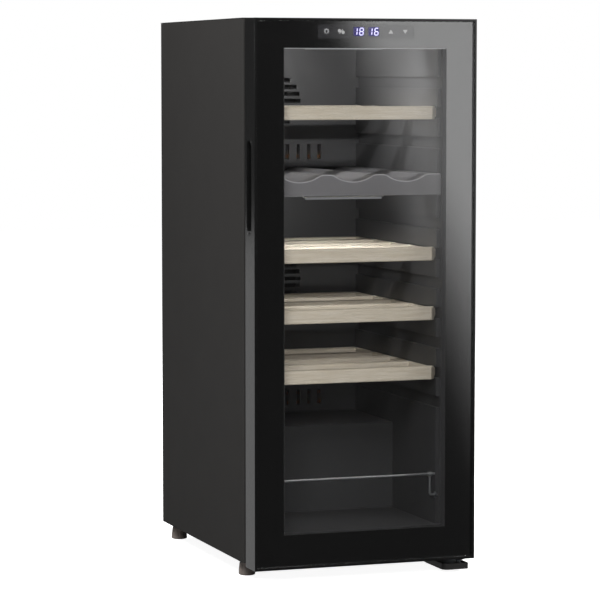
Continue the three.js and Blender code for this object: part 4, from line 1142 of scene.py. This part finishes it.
def light_bar(node):
    """A white carrier with a row of light-emitting diodes under an opal cover."""
    a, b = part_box(node)
    carrier = made_of("carrier", (box((a.x, a.y, a.z + 3.4 * MM), (b.x, b.y, b.z)), WHITE_ABS))
    rounded_edges(carrier, 0.5, 2)
    y0, y1, top = a.y + 0.8 * MM, b.y - 0.8 * MM, a.z + 3.3 * MM
    outline = fillet([(y0, a.z), (y1, a.z), (y1, top), (y0, top)], 1.5 * MM)
    cover = prism(outline, "x", a.x + 3 * MM, b.x - 3 * MM)
    piece = made_of(node + "_finish", (taken(carrier), WHITE_ABS), (cover, OPAL_LIT))
    return stand_in(piece, node)


# ------------------------------------------------------------ every piece

REFINED = {  # the material, and the width of the rounded edges in mm
    "base_plate": (POWDER_COAT, 0.3), "rear_grille": (POWDER_COAT, 0.3),
    "inner_liner": (LINER_SHEET, 1.8), "upper_duct_cover": (SATIN_ABS, 0.9),
    "lower_duct_cover": (SATIN_ABS, 0.9), "upper_sensor": (WHITE_ABS, 1),
    "lower_sensor": (WHITE_ABS, 1),
    "door_frame": (GLOSS_ABS, 1.1), "front_glass": (FRONT_GLASS, 0.6),
    "printed_border": (ENAMEL, 0.05), "pane_spacer": (FIN_ALUMINIUM, 0.4),
    "inner_glass": (INNER_GLASS, 0.4), "door_inner_frame": (TEXTURED_ABS, 0.5),
    "grip_insert": (GLOSS_ABS, 0.5), "top_hinge_bush": (NYLON, 0.3),
    "bottom_hinge_bush": (TEXTURED_ABS, 0.3), "top_hinge_bracket": (ZINC, 0.5),
    "bottom_hinge_bracket": (ZINC, 0.5), "bottom_hinge_cover": (TEXTURED_ABS, 1),
    "compartment_sheet": (ZINC, 0.2), "compressor_mount": (ZINC, 0.4),
    "relay_cover": (TEXTURED_ABS, 1.5),
    "drip_tray": (TEXTURED_ABS, 0.6), "fan_shroud": (ZINC, 0.3), "filter_drier": (COPPER, 1.5),
    "control_box": (WHITE_ABS, 1.5), "mains_inlet": (TEXTURED_ABS, 0.5),
    "foam_insulation": (FOAM, 0.3),
    "wall_spacer_left": (TEXTURED_ABS, 1.6), "wall_spacer_right": (TEXTURED_ABS, 1.6),
}
for node, (material, width) in REFINED.items():
    piece = refined(node, material, width, 3)
    if "glass" in node:
        piece.visible_shadow = False  # clear: it holds back no light

side_panel("left_side_panel", -1)
side_panel("right_side_panel", 1)
top_sheet()
beaded_sheet()
divider()
guard_rail()
cabinet_screws()
for number in range(1, 5):
    shelf(number)
gasket()
display()
keyline()
for corner in ("front_left", "front_right", "rear_left", "rear_right"):
    levelling_foot("foot_" + corner)
for zone in ("upper", "lower"):
    fan(zone + "_fan", "y", 36 * MM, 12 * MM)
fan("condenser_fan", "x", 43 * MM, 15 * MM)
for zone in ("upper", "lower"):
    evaporator(zone + "_evaporator")
condenser()
compressor()
discharge_pipe()
for zone in ("upper", "lower"):
    light_bar(zone + "_led_bar")

# ------------------------------------------------------------ floor and light


FLOOR_NEAR, FLOOR_FAR = 0.5, 2.5  # distances between which the lift grows
LIFT_NEAR, LIFT_FAR = 0.93, 1.0
FLOOR_HALF = 9
SURROUND = 0.05  # what the world adds to everything but the camera's view


def make_floor():
    """A white sweep: the camera sees it lifted to white, more so further off."""
    material, tree, out = new_material("white_sweep")
    place = add(tree, "ShaderNodeTexCoord").outputs["Object"]
    away = add(tree, "ShaderNodeVectorMath", {0: place}, operation="LENGTH").outputs["Value"]
    power = add(tree, "ShaderNodeMapRange", {
        "Value": away, "From Min": FLOOR_NEAR, "From Max": FLOOR_FAR,
        "To Min": LIFT_NEAR, "To Max": LIFT_FAR}).outputs[0]
    white = add(tree, "ShaderNodeBsdfDiffuse", {"Color": (0.85, 0.85, 0.85, 1)})
    grey = add(tree, "ShaderNodeBsdfDiffuse", {"Color": (0.4, 0.4, 0.4, 1)})
    lift = add(tree, "ShaderNodeEmission", {"Color": (1, 1, 1, 1), "Strength": power})
    both = add(tree, "ShaderNodeAddShader", {0: white.outputs[0], 1: lift.outputs[0]})
    path = add(tree, "ShaderNodeLightPath")
    mix = add(tree, "ShaderNodeMixShader", {
        "Fac": path.outputs["Is Camera Ray"], 1: grey.outputs[0], 2: both.outputs[0]})
    tree.links.new(mix.outputs[0], out.inputs["Surface"])
    r = FLOOR_HALF
    floor = link("floor", flat_sheet([(-r, -r, 0), (r, -r, 0), (r, r, 0), (-r, r, 0)]), material)
    floor.visible_glossy = False


def make_world():
    """White behind the object, and a dim surround for everything else."""
    world = bpy.data.worlds.new("studio")
    world.use_nodes = True
    tree = world.node_tree
    tree.nodes.clear()
    seen = add(tree, "ShaderNodeBackground", {"Color": (1, 1, 1, 1), "Strength": 1.0})
    dim = add(tree, "ShaderNodeBackground", {"Color": (1, 1, 1, 1), "Strength": SURROUND})
    path = add(tree, "ShaderNodeLightPath")
    mix = add(tree, "ShaderNodeMixShader", {
        "Fac": path.outputs["Is Camera Ray"], 1: dim.outputs[0], 2: seen.outputs[0]})
    out = tree.nodes.new("ShaderNodeOutputWorld")
    tree.links.new(mix.outputs[0], out.inputs["Surface"])
    bpy.context.scene.world = world


# The key light is a card in front of the door, right of the camera. Its light ends in a soft
# slanted edge, which the front glass mirrors; the edge is softer lower down.
CARD_Y = DOOR_FRONT - 1.0
CARD_LIGHT = 1.15
CARD_BASE = 0.03
EDGE_ACROSS, EDGE_UP = 0.91, 0.415  # the slanted edge's normal
EDGE_AT = 0.672
EDGE_SOFT, EDGE_SOFTER = 0.047, 0.1  # half the edge's width at the top, and its growth downwards


def key_card():
    material, tree, out = new_material("key_light_card")
    place = add(tree, "ShaderNodeTexCoord").outputs["Object"]
    split = add(tree, "ShaderNodeSeparateXYZ", {0: place})
    past = add(tree, "ShaderNodeVectorMath", {0: place, 1: (EDGE_ACROSS, 0, EDGE_UP)},
               operation="DOT_PRODUCT").outputs["Value"]
    past = add(tree, "ShaderNodeMath", {0: past, 1: EDGE_AT}, operation="SUBTRACT").outputs[0]
    soft = add(tree, "ShaderNodeMapRange", {
        "Value": split.outputs["Z"], "From Min": 0.85, "From Max": 0.0,
        "To Min": EDGE_SOFT, "To Max": EDGE_SOFT + EDGE_SOFTER}).outputs[0]
    share = add(tree, "ShaderNodeMath", {0: past, 1: soft}, operation="DIVIDE").outputs[0]
    share = add(tree, "ShaderNodeMapRange", {
        "Value": share, "From Min": -1, "From Max": 1}, interpolation_type="SMOOTHSTEP").outputs[0]
    power = add(tree, "ShaderNodeMath", {0: share, 1: CARD_LIGHT, 2: CARD_BASE},
                operation="MULTIPLY_ADD").outputs[0]
    light = add(tree, "ShaderNodeEmission", {"Strength": power})
    tree.links.new(light.outputs[0], out.inputs["Surface"])
    corners = [(x, CARD_Y, z) for x, z in ((1.3, -0.6), (-0.3, -0.6), (-0.3, 1.6), (1.3, 1.6))]
    card = link("key_card", flat_sheet(corners), material)
    card.visible_camera = False


def soft_light(name, place, target, size, power):
    data = bpy.data.lights.new(name, "AREA")
    data.shape = "RECTANGLE"
    data.size, data.size_y = size
    data.energy = power
    lamp = bpy.data.objects.new(name, data)
    lamp.location = place
    lamp.rotation_euler = (Vector(target) - Vector(place)).to_track_quat("-Z", "Y").to_euler()
    lamp.visible_camera = False
    bpy.context.scene.collection.objects.link(lamp)
    return lamp


make_floor()
make_world()
key_card()
LAMPS = (  # name, place, target, size, watts
    ("overhead", (-0.3, -0.5, 2.6), (0, 0, 0.4), (2.0, 2.0), 30),
    ("front", (-0.85, -2.3, 1.4), (0, 0, 0.45), (1.0, 1.0), 42),
    ("left", (-1.1, -0.1, 2.1), (-0.17, 0, 0.6), (1.0, 1.0), 42),
    ("right", (2.2, -0.3, 1.8), (0.17, 0, 0.5), (1.2, 1.2), 22),
    ("back", (1.9, 2.0, 1.8), (0, 0.2, 0.4), (0.8, 0.8), 60),
    ("left_back", (-0.95, 1.8, -0.1), (-0.17, -0.2, 0.25), (0.9, 1.0), 1.5),
)
LED_WATTS = {"upper_led_bar": 1.0, "lower_led_bar": 0.38}
LED_AIM = Vector((0, 1, -0.5))  # back and down
LED_SIZE = (0.16, 0.012)
for lamp in LAMPS:
    soft_light(*lamp)
for bar, power in LED_WATTS.items():
    middle = (low(bar) + high(bar)) / 2
    below = Vector((middle.x, middle.y, low(bar).z - 1 * MM))
    soft_light(bar + "_light", below, below + LED_AIM, LED_SIZE, power)
bpy.context.scene.view_settings.view_transform = "Standard"
